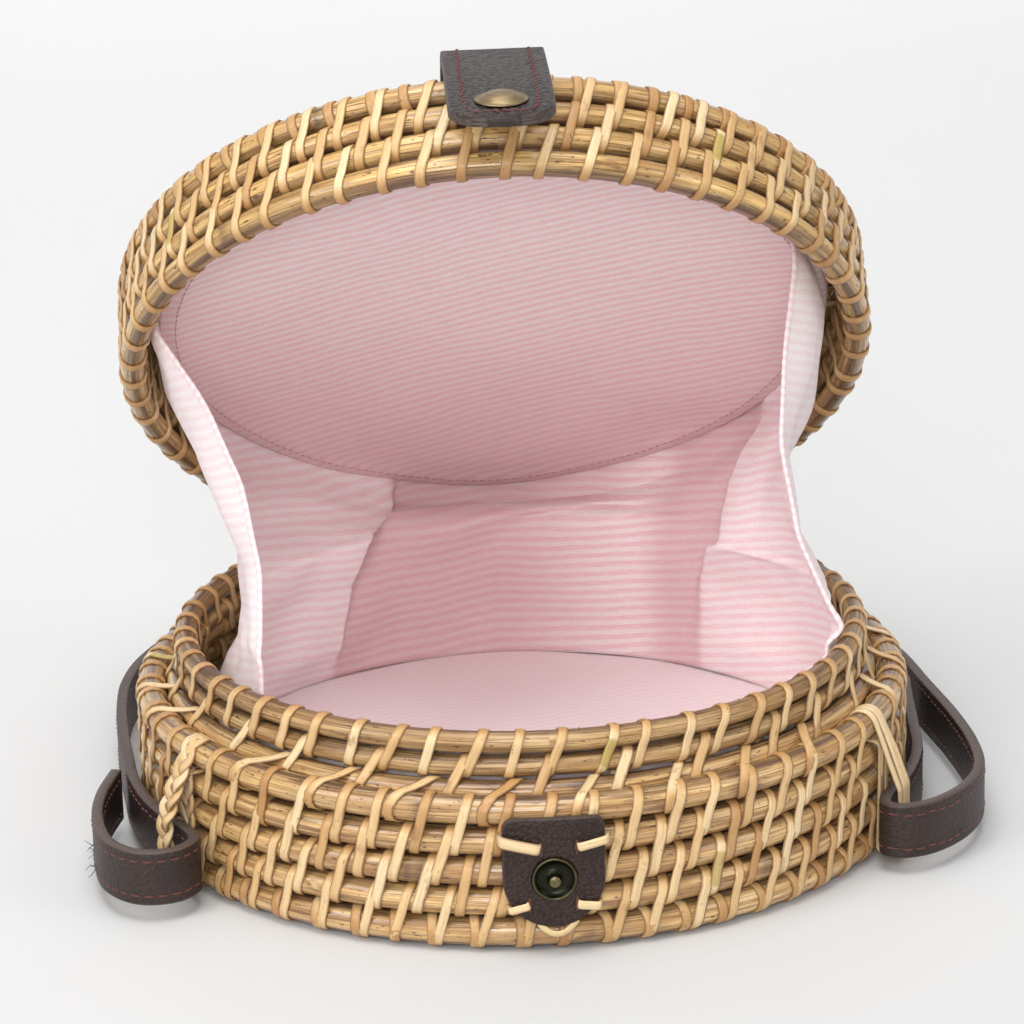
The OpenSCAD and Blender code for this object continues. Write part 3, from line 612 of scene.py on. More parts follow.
def loop(shell, rng, a, first, second, slant, width=None, place=as_is):
    """One loop of cane round two rods at angle a. slant is how far it is shifted on the second rod."""
    c1, c2 = np.array(first.centre(a)), np.array(second.centre(a))
    pts, nrm = belt(c1, first.half(a) + CANE_CLEAR, c2, second.half(a) + CANE_CLEAR)
    gap = np.linalg.norm(c2 - c1)
    reach = (pts - (c1 + c2) / 2) @ ((c2 - c1) / gap) / gap
    out, et = directions(a)
    p = pts[:, :1] * out + pts[:, 1:] * UP + (reach * slant)[:, None] * et
    n = nrm[:, :1] * out + nrm[:, 1:] * UP
    side = unit(np.cross(n, heading(p, True)))
    side *= np.sign(side @ et)[:, None]
    base = place(np.zeros(3))
    width = width or CANE_W * rng.uniform(0.86, 1.1)
    # The tone falls toward brown as painted shade where the loop bends round the rods into the crevices
    # between rows
    tone = cane_tone(rng) * (1 - 0.75 * smoothstep(np.abs(reach), 0.62, 0.95)[:, None])
    strip_mesh(shell, place(p), place(n) - base, place(side) - base, width, CANE_T * rng.uniform(0.9, 1.0),
               tone, rng.uniform(0, 900))


def near_gap(a, gaps):
    return any(abs((a - middle + 180) % 360 - 180) < half for middle, half in gaps)


def wall_row(shell, rng, first, second, count, phase, gaps=(), place=as_is, slant=SLANT, jitter=0.35):
    for i in range(count):
        a = i * 360 / count + phase + rng.normal(0, jitter)
        lean = rng.uniform(0.75, 1.3)
        if near_gap(a, gaps):
            rng.uniform(size=4)  # in place of the draws of the loop that is left out
        else:
            loop(shell, rng, a, first, second, slant * lean, place=place)


def flat_rows(shell, rng, rods, phase, place=as_is, gaps=()):
    for k in range(1, len(rods)):
        r = (rods[k - 1].r + rods[k].r) / 2
        count = max(5, int(round(LOOPS * r / 100)))
        for i in range(count):
            a = i * 360 / count + phase + k * SHIFT * 100 / max(r, 20) + rng.normal(0, 0.3)
            if k > 2 or not near_gap(a, gaps):
                loop(shell, rng, a, rods[k], rods[k - 1], min(SLANT, r / 12), min(CANE_W, r / 9), place)


def build_strips(name, shell, node, body="basket"):
    shell.build(name, CANE, body, "cane", (node,))


rng = np.random.default_rng(11)
hinge_gap = (180, HINGE_FREE)
ring_gaps = ((RING_LEFT, 3.0), (RING_RIGHT, 3.4))

shell = Shell()
wall_row(shell, rng, floor_rods[0], wall[0], LOOPS, 0)
for i in range(3):
    loop(shell, rng, 40 + 60 * i, floor_rods[-1], floor_rods[-2], 0.3, width=1.2)
build_strips("foot_strips", shell, "base_foot_bindings")

shell = Shell()
for k, gaps in enumerate(((), (), ring_gaps, ring_gaps + (hinge_gap,))):
    wall_row(shell, rng, wall[k], wall[k + 1], LOOPS, (k + 1) * SHIFT, gaps)
wall_row(shell, rng, ledge, wall[-1], 28, 4.5 + WALL_ROWS * SHIFT, ring_gaps + (hinge_gap,), slant=-5.5,
         jitter=0.7)
build_strips("wall_strips", shell, "base_wall_bindings")

shell = Shell()
wall_row(shell, rng, ledge, collar[0], 28, 10.5, slant=3.6, jitter=0.7)
wall_row(shell, rng, collar[0], collar[1], 54, 2.0, slant=2.4, jitter=0.5)
build_strips("collar_strips", shell, "base_collar_bindings")

shell = Shell()
flat_rows(shell, rng, floor_rods, 0)
build_strips("floor_strips", shell, "base_floor_bindings")

# The lid's strips, drawn closed and turned open. They leave room for the tab's ties, at this radius and angle.
TAB_TIE_R = LID_R - 2.5 * FACE_PITCH
TAB_TIE = math.degrees(TAB_W / 4 / TAB_TIE_R)
tab_gaps = ((TAB_TIE - 0.35, 2.1), (-TAB_TIE - 0.35, 2.1))
shell = Shell()
for k, gaps in enumerate(((hinge_gap,), (), ())):
    wall_row(shell, rng, lid_wall[-1 - k], lid_wall[-2 - k], LOOPS, 1.5 + k * SHIFT, gaps, opened)
build_strips("lid_wall_strips", shell, "lid_wall_bindings", "lid")

shell = Shell()
wall_row(shell, rng, face_rods[0], lid_wall[0], LOOPS, 3.9 + 3 * SHIFT, tab_gaps, opened, slant=-0.8)
flat_rows(shell, rng, face_rods, 1.0, opened, tab_gaps)
build_strips("lid_face_strips", shell, "lid_face_bindings", "lid")

# Splinters on the collar's top rod: place and size
shell = Shell()
rng = np.random.default_rng(23)
f = np.linspace(0, 1, 6)
for a, size in ((4.4, 1.2), (11.4, 1.4), (14.4, 1.7), (15.6, 1.5), (16.3, 1.3), (-27, 1.2), (33, 1.3)):
    r = COLLAR_R + 0.5 + 1.6 * f * rng.uniform(-0.3, 0.3)
    z = COLLAR_TOP + COLLAR_D / 2 - 0.25 + size * f * (1 - 0.25 * f)
    pts = around(r, a + f * rng.uniform(-1.6, 1.6), z)
    tube(shell, pts, 0.34 * (1 - 0.85 * f), f * size + 7 * a, 0.4, 0.6, 5, 0.5, (0.3, 0.8, 0.5))
shell.build("collar_splinters", COLLAR_ROD, "basket", "rattan")


# Cloth

def inward(p):
    """Level direction from p toward the middle of the open bag."""
    return unit(stacked(-p[..., 0], 20 - p[..., 1], 0.0))


def soften(p, times):
    """Rounds the corners along the second axis of a grid, with its ends held."""
    for _ in range(times):
        p[:, 1:-1] = p[:, 1:-1] / 2 + (p[:, :-2] + p[:, 2:]) / 4
    return p


def ripple(x, y, seed, count=7, low=0.6, high=3.0):
    """A smooth irregular field of about unit height over x and y from 0 to 1."""
    rng = np.random.default_rng(seed)
    total = 0.0
    for _ in range(count):
        fx, fy = rng.uniform(low, high, 2) * rng.choice([-1, 1], 2)
        total = total + np.sin(2 * PI * (fx * x + fy * y) + rng.uniform(0, 2 * PI)) / count ** 0.5
    return total


# How far the sides are drawn in between the collar and the lid's rim: a row a height, a column a place
DRAW_AT = [0, 0.05, 0.1, 0.2, 0.3, 0.4, 0.5]
DRAW_LEFT = [[6.5, 9.5, 12, 9, 4, 0, 0], [11.5, 11.5, 13, 8, 3, 0, 0], [12, 10, 10, 4.5, 2.5, 1, 0],
             [7, 7, 8, 2.5, 1.5, 0, 0], [-3, 1, 1, 0, 0, 0, 0]]
DRAW_RIGHT = [[-4, 2.5, 4, 1, 0, 0, 0], [6, 11, 12, 5, 2, 1, 0], [10, 12.5, 13.5, 6.5, 3, 1, 0],
              [8, 5, 7.5, 4, 2, 1, 0], [4, 3, 4, 1, 0, 0, 0]]
LEFT_CREASE, RIGHT_CREASE = (0.345, 0.385), (0.684, 0.744)


def drawn_in(table, place, height):
    rows = np.array([np.interp(place, DRAW_AT, row) for row in table])
    k = np.clip(height, 0, 1) * (len(rows) - 1)
    i = np.clip(k.astype(int), 0, len(rows) - 2)
    low, high = (np.take_along_axis(rows, i[None] + step, 0)[0] for step in (0, 1))
    return low * (1 - (k - i)) + high * (k - i)


def crease(u, height, line, width, drop):
    """A leaning fold: it rises over width and drops over drop, along a line from the foot to the top."""
    off = u - (line[0] + (line[1] - line[0]) * height)
    rise = smoothstep(off, -width, 0) if width > 0 else smoothstep(-off, width, 0)
    fall = smoothstep(off, 0, drop) if drop > 0 else smoothstep(-off, 0, -drop)
    return rise * (1 - fall)


def gusset_grid():
    """The gusset's middle surface, its grain, and how far each height is on the way through the six rows.

    The surface runs from the left hem round the back to the right one, and from the floor to the lid."""
    u = np.linspace(0, 1, 380)
    u = u + 0.03 * np.sin(2 * PI * u) / (2 * PI)
    a, b = (start - u * (360 + start - end) for start, end in (BASE_MOUTH, LID_MOUTH))
    r_in = LINING_R - 0.8
    over = smoothstep(np.abs(u - 0.5), 0.27, 0.13)
    rows = [around(PANEL_R - 0.9, a, PANEL_TOP - 0.6), around(r_in, a, KNEE_Z), around(r_in, a, CREST_Z),
            around(r_in + (COLLAR_R - r_in) * over, a, CREST_Z + 1.6),
            opened(around(93.4, b, LID_RIM + LID_PITCH / 2)), opened(around(92.6, b, LID_PANEL_LOW + 2.2))]
    place = np.concatenate([k + np.arange(n) / n for k, n in enumerate((22, 10, 6, 46, 8))] + [[5.0]])
    k = np.minimum(place.astype(int), 4)
    f = (place - k)[:, None, None]
    rows = np.array(rows)
    p = soften((rows[k] * (1 - f) + rows[k + 1] * f).swapaxes(0, 1), 14)
    uu, vv = np.meshgrid(u, np.linspace(0, 1, len(place)), indexing="ij")
    free = np.broadcast_to(np.clip(place - 3, 0, 1), uu.shape)
    grain_up = 0.95 * p[..., 2] + 0.30 * p[..., 1] - 0.14 * p[..., 0] * (p[..., 0] < 0)

    left = drawn_in(DRAW_LEFT, uu, free) * smoothstep(place, 0.0, 1.6)
    right = drawn_in(DRAW_RIGHT, 1 - uu, free)
    right = right * np.where(right < 0, smoothstep(place, 1.8, 3.0), smoothstep(place, 0.4, 2.7))
    p = p + (left - right)[..., None] * np.array([1, 0.05, 0])

    up = smoothstep(place, 0.0, 5.0) + 0 * uu
    early = np.clip(2 * up, 0, 1) ** 0.8
    # Each fold: its climb, its line, the widths of its rise and drop, its size, and how it fades at the ends
    folds = ((up, LEFT_CREASE, 0.19, 0.014, 15.0, np.clip(up, 0.04, 0.97), 0.7),
             (early, RIGHT_CREASE, -0.12, -0.022, 11, np.clip(up, 0.03, 0.97), 0.7),
             (up, (0.87, 0.74), -0.06, -0.06, 1.8, np.clip(1.5 * up, 0, 1), 1),
             (up, (0.40, 0.63), 0.08, 0.08, 4.6, up, 1),
             (up, (0.52, 0.70), 0.06, 0.07, 3.6, up, 1))
    fold = 1.1 * ripple(uu * 1.6, vv, 5) + 0.55 * ripple(uu * 5, vv * 1.4, 8)
    for climb, line, width, drop, size, fade, power in folds:
        fold = fold + size * crease(uu, climb, line, width, drop) * np.sin(PI * fade) ** power
    # The cloth beyond each of the two creases, tucked under it: climb, line, size, reach and side
    tuck = 0.0
    for climb, line, size, reach, way in ((up, LEFT_CREASE, -4.5, 0.16, 1),
                                          (early, RIGHT_CREASE, 3.0, 0.12, -1)):
        off = way * (uu - (line[0] + (line[1] - line[0]) * climb))
        near = smoothstep(off, 0, 0.012) * (1 - smoothstep(off, 0.012, reach))
        tuck = tuck + size * near * np.sin(PI * up) ** 0.7
    held = np.clip(np.minimum(place, 5 - place) / 0.35, 0, 1) * np.clip(np.minimum(uu, 1 - uu) / 0.03, 0, 1)
    p = p + (fold * held)[..., None] * inward(p) + (tuck * held)[..., None] * heading(p)
    return p, stacked((u * 2 * PI * 88 * 232 / 360)[:, None], grain_up, 0.0), place


def two_faced(shell, p, thick, grain, tint, back_tint):
    """A closed cloth of that thickness round the surface p, with a tint for each face."""
    n = unit(np.cross(np.gradient(p, axis=0), np.gradient(p, axis=1)))
    m, k = p.shape[:2]
    tint, back_tint = np.broadcast_to(tint, (m, k)), np.broadcast_to(back_tint, (m, k))
    base = shell.count
    shell.add(np.concatenate([p + n * thick / 2, (p - n * thick / 2)[:, ::-1]], 1), (False, True),
              np.concatenate([grain, grain[:, ::-1]], 1), np.concatenate([tint, back_tint[:, ::-1]], 1))
    i = np.arange(k - 1)
    for row in (0, m - 1):
        a, b = base + row * 2 * k + i, base + row * 2 * k + 2 * k - 1 - i
        shell.quads.append(np.stack([a, a + 1, b - 1, b], 1))
        shell.grain.append(np.stack([grain[row, i], grain[row, i + 1], grain[row, i + 1], grain[row, i]], 1))
        shell.tint.append(np.stack([tint[row, i]] * 4, 1))


gusset_mid, gusset_grain, gusset_place = gusset_grid()
across = np.linspace(0, 1, len(gusset_mid))[:, None]
rise = gusset_place / 5
# Painted light and shade on the inside face: the back, at tint 0, is painted shade; the flaps beyond the two
# creases and a band behind the middle are lighter, as painted light
inside_light_and_shade = 0.38 * (1 - smoothstep(across - (0.345 + 0.04 * rise), -0.01, 0.01)) \
    + 0.3 * smoothstep(across - (0.69 + 0.05 * rise), -0.01, 0.012) \
    + 0.12 * smoothstep(across, 0.5, 0.62) * (1 - smoothstep(across, 0.62, 0.66))
outside_tint = 0.58 - 0.28 * smoothstep(np.minimum(across, 1 - across), 0.1, 0.25)
shell = Shell()
two_faced(shell, gusset_mid, GUSSET_T, gusset_grain, inside_light_and_shade, outside_tint)
gusset = shell.build("gusset_cloth", COTTON, "basket", "cotton", ("gusset",), ride=False)
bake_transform(gusset)


def hem(name, edge, into, seed):
    """A rolled hem along a gusset's edge; into points from the edge into the cloth."""
    keep = slice(20, len(edge) - 2)
    path = resample(smooth_path(edge[keep][::3], 3), 150)
    into = unit(resample(into[keep], 150))
    out = unit(np.cross(heading(path), into))
    t = circle(12)
    s = lengths(path)[:, None]
    wide, thick = 1.15 * np.cos(t[:-1]), 0.65 * (1 + 0.10 * np.sin(2 * PI * s / 2.6 + seed)) * np.sin(t[:-1])
    ring = (path + into * 0.9)[:, None] + wide[:, None] * into[:, None] + thick[..., None] * out[:, None]
    shell = Shell()
    shell.add(ring, (False, True), stacked(t * 1.2, s, 0.0), 0.3, caps=True)
    obj = shell.build(name, HEM_COTTON, "basket", "cotton", ride=False)
    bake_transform(obj)
    return obj


hem_left = hem("hem_left", gusset_mid[0], gusset_mid[3] - gusset_mid[0], 0.0)
hem_right = hem("hem_right", gusset_mid[-1], gusset_mid[-4] - gusset_mid[-1], 1.3)


def front_lining(name, arc, rows, node, place, body):
    """The short cloth wall inside the front of the basket or of the lid."""
    radii, heights = np.array(rows).T
    a = np.linspace(arc[0], arc[1], 120)
    z = np.concatenate([np.linspace(heights[k], heights[k + 1], 9)[(k > 0):] for k in range(len(rows) - 1)])
    r = np.interp(z, heights, radii)
    x, y = np.meshgrid(np.linspace(0, 1, len(a)), np.linspace(0, 1, len(z)), indexing="ij")
    lean = 0.5 * np.abs(ripple(x * 4, y, 3)) * np.sin(PI * y)
    p = around(r - 0.3 - lean, a[:, None], z)
    shell = Shell()
    two_faced(shell, place(p), LINING_T, stacked(np.radians(a)[:, None] * r[0], z, 0.0), 0.6, 0.6)
    obj = shell.build(name, COTTON, body, "cotton", (node,))


front_lining("lining_basket", BASE_MOUTH,
             [(89.1, PANEL_LOW + 0.1), (LINING_R, KNEE_Z), (LINING_R, CREST_Z - 3.2)],
             "base_lining_wall", as_is, "basket")
front_lining("lining_lid", LID_MOUTH, [(95.0, CREST_Z - 1.5), (95.0, LID_PANEL_TOP - 0.1)],
             "lid_lining_wall", opened, "lid")


def swell_grid(r, seed):
    """Heights of a disc of cloth, held round its edge, after a cloth simulation under light pressure.

    The grid's rows are rings from the middle out, its columns spokes."""
    rings, spokes, frames = 26, 96, 20
    rng = np.random.default_rng(seed)
    rr, tt = np.meshgrid(np.arange(1, rings + 1) / rings * r, circle(spokes)[:-1], indexing="ij")
    x, y = rr * np.cos(tt), rr * np.sin(tt)
    height = 0.25 * ripple(x / 180 + 0.5, y / 180 + 0.5, seed, 9, 1.0, 4.0)
    height = height + rng.uniform(-0.02, 0.02, rr.shape)
    height[-1] = 0
    verts = [(0.0, 0.0, 0.0)] + (stacked(x, y, height).reshape(-1, 3) * MM).tolist()
    turns = [(k, (k + 1) % spokes) for k in range(spokes)]
    faces = [(0, 1 + k, 1 + after) for k, after in turns]
    for a in range(1, 1 + (rings - 1) * spokes, spokes):
        b = a + spokes
        faces += [(a + k, b + k, b + after, a + after) for k, after in turns]
    mesh = bpy.data.meshes.new("swell")
    mesh.from_pydata(verts, [], faces)
    obj = bpy.data.objects.new("swell", mesh)
    scene = bpy.context.scene
    scene.collection.objects.link(obj)
    held = obj.vertex_groups.new(name="held")
    held.add(list(range(1 + (rings - 1) * spokes, len(verts))), 1.0, "REPLACE")
    cloth = obj.modifiers.new("cloth", "CLOTH")
    for key, value in {"vertex_group_mass": "held", "quality": 5, "mass": 0.15, "bending_stiffness": 0.2,
                       "use_pressure": True, "uniform_pressure_force": 4, "shrink_min": -0.02,
                       "shrink_max": -0.02}.items():
        setattr(cloth.settings, key, value)
    cloth.settings.effector_weights.gravity = 0
    cloth.collision_settings.use_collision = False
    cloth.point_cache.frame_start, cloth.point_cache.frame_end = 1, frames
    for frame_number in range(1, frames + 1):
        scene.frame_set(frame_number)
    shown = obj.evaluated_get(bpy.context.evaluated_depsgraph_get())
    z = np.empty(len(verts) * 3)
    shown.data.vertices.foreach_get("co", z)
    z = z[2::3] / MM
    bpy.data.objects.remove(obj)
    bpy.data.meshes.remove(mesh)
    scene.frame_set(1)
    return np.vstack([np.full(spokes, z[0]), z[1:].reshape(rings, spokes)])


def swell_at(grid, r, radius, angle):
    """The grid's heights at points given by radius and angle, from 0 at the edge to about 1."""
    rings, spokes = grid.shape[0] - 1, grid.shape[1]
    i, j = np.clip(radius / r, 0, 0.9999) * rings, angle / (2 * PI) * spokes
    i0, j0 = i.astype(int), j.astype(int)
    fi, fj = i - i0, j - j0
    value = 0.0
    for step, share in ((0, 1 - fj), (1, fj)):
        column = (j0 + step) % spokes
        value = value + (grid[i0, column] * (1 - fi) + grid[i0 + 1, column] * fi) * share
    return value / max(np.abs(grid).max(), 1e-6)


def pad(name, r, low, high, material, node, place, body, seed, stripes, lump, tint):
    """A thin padded disc covered with cloth: crowned and lumpy, the lid's sewn round its edge.

    stripes is the direction of the cloth's stripes, and tint gives its tint from the points' y."""
    rings, spokes, edge, inset = 44, 180, 1.3, 5.0
    mid, half = (low + high) / 2, (high - low) / 2
    bend = np.linspace(0.15, 1, 9) * PI / 2
    radii = np.concatenate([np.linspace(0.6, r - edge, rings), r - edge + edge * np.sin(bend)])
    swell = np.concatenate([np.ones(rings), np.cos(bend)])[:, None]
    rr, tt = np.meshgrid(radii, circle(spokes)[:-1], indexing="ij")
    x, y = rr * np.cos(tt), rr * np.sin(tt)
    field = ripple(x / 180 + 0.5, y / 180 + 0.5, seed, 9, 0.8, 3.6) * lump
    crown = swell_at(swell_grid(r - inset, seed), r - inset, np.minimum(rr, r - inset), tt)
    field = 0.45 * field + 3.0 * lump * (crown - 0.35)
    sewn = place is opened
    if sewn:
        field = field - 0.8 * lump * np.exp(-((rr - (r - inset)) / 1.3) ** 2)
    way = -1 if sewn else 1
    face = mid + swell * (way * half + field - 0.25)
    p = np.concatenate([stacked(x, y, face), stacked(x, y, mid - way * swell * half)[::-1][1:]], 0)
    px, py = p[..., 0], p[..., 1]
    c, s = math.cos(stripes), math.sin(stripes)
    grain = stacked(px * c + py * s, -px * s + py * c + 1.6 * np.sin(px / 31 + seed), 0.0)
    shell = Shell()
    shell.add(place(p), (False, True), grain, tint(py), caps=True)
    obj = shell.build(name, material, body, "cotton", (node,))
    if sewn:
        line = Shell()
        for k in np.arange(0, 360, 1.55):
            w = np.radians(np.linspace(k, k + 1.0, 5))
            z = np.interp(r - inset, radii, face[:, int(k / 360 * spokes) % spokes])
            thread(line, place(stacked((r - inset) * np.cos(w), (r - inset) * np.sin(w), z - 0.12)), 0.16)
        line.build(name + "_stitches", PANEL_THREAD, body, "cotton")


pad("floor_pad", PANEL_R + 0.2, PANEL_LOW, PANEL_TOP, COTTON, "base_lining_panel", as_is, "basket",
    4, math.radians(24), 0.55, lambda y: 0.64)
# The lid pad's tint falls toward the hinge, as a painted shadow there
pad("lid_pad", LID_PANEL_R + 1.9, LID_PANEL_LOW, LID_PANEL_TOP, LID_COTTON, "lid_lining_panel", opened, "lid",
    7, math.radians(-20), 0.8, lambda y: 0.12 - 0.1 * smoothstep(y, -10, 75))


# Leather

def band(shell, path, up, width, half_width=None):
    """A leather band with rounded edges: path is its middle line, up the direction of its width."""
    ahead = heading(path)
    up = squared(up, ahead)
    out = np.cross(up, ahead)
    half = np.full(len(path), width / 2) if half_width is None else half_width
    r, deep = 0.55, LEATHER_T / 2
    section = [(w, 0.0, deep) for w in np.linspace(-1, 1, 15)]
    section += [(1.0, r * math.sin(t), face * (deep - r * (1 - math.cos(t))))
                for t, face in ((0.5, 1), (1.1, 1), (1.1, -1), (0.5, -1))]
    section = np.vstack([section, np.array(section) * (-1, 1, -1)])
    side, corner, depth = section.T
    across = (half - r)[:, None] * side + np.sign(side) * corner
    p = path[:, None] + across[..., None] * up[:, None] + depth[:, None] * out[:, None]
    girth = lengths(stacked(side * width / 2, depth))
    grain = stacked(lengths(path)[:, None], np.append(girth, girth[-1] + 0.5), np.append(depth, depth[0]))
    edge_tint = np.where(corner > 0, np.where(depth > 0, 0.6, 1.0), 0.0)
    shell.add(p, (False, True), grain, edge_tint[None, :], caps=True, cut=0.8)
    return out


def seam(shell, line, out, lift, length, gap, seed, thick=0.21, slant=0.0):
    """Stitches along a line, lying on the face that out points from."""
    s = lengths(line)
    rng = np.random.default_rng(seed)
    sunk, crown, first = 0.08, 0.14, 1.5
    arch = lift + crown * np.sin(np.linspace(0, PI, 5)) - sunk
    place = first
    while place + length < s[-1] - 1:
        q = np.linspace(place, place + length * rng.uniform(0.92, 1.05), 5)
        pts, n = at_lengths(q, s, line), at_lengths(q, s, out)
        sway = (rng.uniform(-0.22, 0.22) + np.linspace(-slant, slant, 5))[:, None]
        thread(shell, pts + n * arch[:, None] + np.cross(unit(pts[-1:] - pts[:1]), n) * sway, thick, place)
        place += length + gap


# The strap's middle line seen from above, from its left end round the back to its right end
STRAP_SHARES = [
    (-1.0585, -0.11), (-1.09, -0.27), (-1.096, -0.43), (-1.068, -0.59), (-0.996, -0.683), (-0.908, -0.684),
    (-0.856, -0.62), (-0.872, -0.548), (-0.927, -0.447), (-0.976, -0.32), (-1.012, -0.165), (-1.029, 0),
    (-1.045, 0.172), (-1.055, 0.382), (-1.047, 0.593), (-1, 0.803), (-0.89, 1.033), (-0.717, 1.214),
    (-0.478, 1.329), (-0.239, 1.377), (0, 1.391), (0.239, 1.377), (0.478, 1.329), (0.727, 1.214),
    (0.908, 1.023), (1.023, 0.803), (1.09, 0.555), (1.12, 0.287), (1.147, 0.03), (1.155, -0.19),
    (1.137, -0.37), (1.075, -0.505), (0.985, -0.6), (0.905, -0.632), (0.859, -0.609), (0.87, -0.547),
    (0.915, -0.468), (0.962, -0.364), (1.005, -0.221), (1.0275, -0.04), (1.047, 0.143), (1.071, 0.33)]
STRAP_FRONT_SHARE, STRAP_BACK_SHARE = -0.631, 1.391
STRAP_DROP = math.atan((STRAP_LOW - 0.3) / ((STRAP_BACK_SHARE - STRAP_FRONT_SHARE) * STRAP_SPAN))
STRAP_TURN = turn((1, 0, 0), -STRAP_DROP)
STRAP_PIVOT = np.array([0, STRAP_FRONT_SHARE * STRAP_SPAN, STRAP_LOW])


def laid(p):
    """The strap's points, drawn level, as they lie with the strap tilted down to the floor at the back."""
    return (np.asarray(p) - STRAP_PIVOT) @ STRAP_TURN.T + STRAP_PIVOT


strap_mid = STRAP_LOW + STRAP_W / 2
flat = smooth_path(STRAP_SPAN * np.array(STRAP_SHARES), 8)
path = laid(stacked(flat[:, 0], flat[:, 1], strap_mid))
up = np.broadcast_to(STRAP_TURN @ UP, path.shape)
shell = Shell()
strap_out = band(shell, path, up, STRAP_W)
shell.build("strap_leather", STRAP_LEATHER, "strap", "leather", ("strap",))
stitches = Shell()
seam_height = 4.7
for side in (-1, 1):
    for h in (-seam_height, seam_height):
        seam(stitches, path + up * h, strap_out * side, LEATHER_T / 2, 2.3, 0.9, 3 + side)
stitches.build("strap_stitches", RED_THREAD, "strap", "leather")

fray = Shell()
rng = np.random.default_rng(12)
f = np.linspace(0, 1, 9)
for k in range(9):
    x, y = STRAP_SPAN * np.array([-1.085, -0.47]) + (-1.2, rng.uniform(-5, 5))
    reach, drift, low = rng.uniform(1.5, 3.6), rng.uniform(-2, 2), rng.uniform(-6.5, 1.5)
    bend = rng.uniform(-2.5, 2.5) * f * f
    z = strap_mid + low + 1.2 * np.sin(3 * f + k)
    thread(fray, laid(stacked(x - reach * f, y + drift * f + bend, z)), 0.1)
fray.build("strap_fray", DARK_THREAD, "strap", "leather")


def flap_frame(p):
    """Points drawn on a flap that hangs from the origin and faces -Y, as they stand on the real one."""
    return opened(np.asarray(p, float) @ turn((1, 0, 0), -FLAP_SLOPE).T + (CLOSURE_X, FOLD_Y, TAB_Z))


def tab_line():
    """Middle line of the tab in the closed lid's frame: root, fold and flap, in y and z."""
    root_y, root_l = -73.8, 30.5
    root = stacked(root_y - np.linspace(0, root_l, 16), TAB_Z)
    c, s = math.cos(FLAP_SLOPE), math.sin(FLAP_SLOPE)
    d = np.linspace(5.0, FLAP_L, 50)
    bow = 0.9 * np.sin(PI * d / FLAP_L)
    flap = stacked(FOLD_Y - d * s - bow * c, TAB_Z - d * c + bow * s)
    return smooth_path(resample(np.vstack([root, flap]), 70), 2)


def tab_widths(s):
    """Half the tab's width at lengths s along it: rounded at the end, slightly drawn in at the root."""
    half, corner = TAB_W / 2, 9.0
    from_end = s[-1] - s
    rounded = half - corner + np.sqrt(np.clip(corner ** 2 - (corner - from_end) ** 2, 0, None))
    return np.minimum(np.where(from_end < corner, rounded, half), np.where(s < 2, half - 0.8 + 0.4 * s, half))


tab_yz = tab_line()
tab_s = lengths(tab_yz)
tab_half = tab_widths(tab_s)
tab_path = opened(stacked(CLOSURE_X, tab_yz[:, 0], tab_yz[:, 1]))
tab_up = np.broadcast_to(LID_TURN @ np.array([-1.0, 0, 0]), tab_path.shape)
shell = Shell()
tab_out = band(shell, tab_path, tab_up, TAB_W, np.maximum(tab_half, 4.4))
tab = shell.build("tab_leather", PEBBLED, "lid", "leather", ("tab_root", "closure_tab"), ride=False)
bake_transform(tab)

# The seam goes down one side of the flap, round its end and up the other side
seam_start, seam_end, seam_inset = 36.5, tab_s[-1] - 2.6, 4.0
outer = tab_out[len(tab_out) // 2] @ (opened((0, -120, 80)) - opened((0, -110, 70)))
sewn = slice(np.searchsorted(tab_s, seam_start), np.searchsorted(tab_s, seam_end))
from_middle = tab_up[sewn] * (tab_half[sewn, None] - seam_inset)
face_out = (tab_out * np.sign(outer))[sewn]
stitches = Shell()
seam(stitches, np.vstack([tab_path[sewn] + from_middle, (tab_path[sewn] - from_middle)[::-1]]),
     np.vstack([face_out, face_out[::-1]]), LEATHER_T / 2 + 0.05, 2.0, 0.35, 9, 0.3, 0.45)
stitches.build("tab_stitches", TAB_THREAD, "tab", "leather")


def cylinder_front(x, z, r):
    """Points at x and height z on the front of an upright cylinder."""
    return stacked(x, -np.sqrt(np.maximum(r ** 2 - np.asarray(x) ** 2, 0)), z)


def patch_reach(t):
    """How far the patch's outline lies from the snap's centre in direction t."""
    w, top, low, r = PATCH_HALF, PATCH_TOP - SNAP_Z, PATCH_LOW + PATCH_HALF - SNAP_Z, 3.0
    tiny = 1e-6
    c, s = np.cos(t), np.sin(t)
    out = np.where(np.abs(c) > tiny, w / np.maximum(np.abs(c), tiny), 99.0)
    out = np.where(s > tiny, np.minimum(out, top / np.maximum(s, tiny)), out)
    arc_reach = low * s + np.sqrt(np.maximum((low * s) ** 2 + w * w - low * low, 0))
    out = np.where(s < low / np.maximum(out, tiny), np.minimum(out, arc_reach), out)
    cx, cz = w - r, top - r
    for sign in (-1, 1):
        dot = c * sign * cx + s * cz
        disc = dot ** 2 - (cx ** 2 + cz ** 2 - r ** 2)
        reach = dot + np.sqrt(np.maximum(disc, 0))
        out = np.where((disc > 0) & (reach * c * sign > cx) & (reach * s > cz), reach, out)
    return out


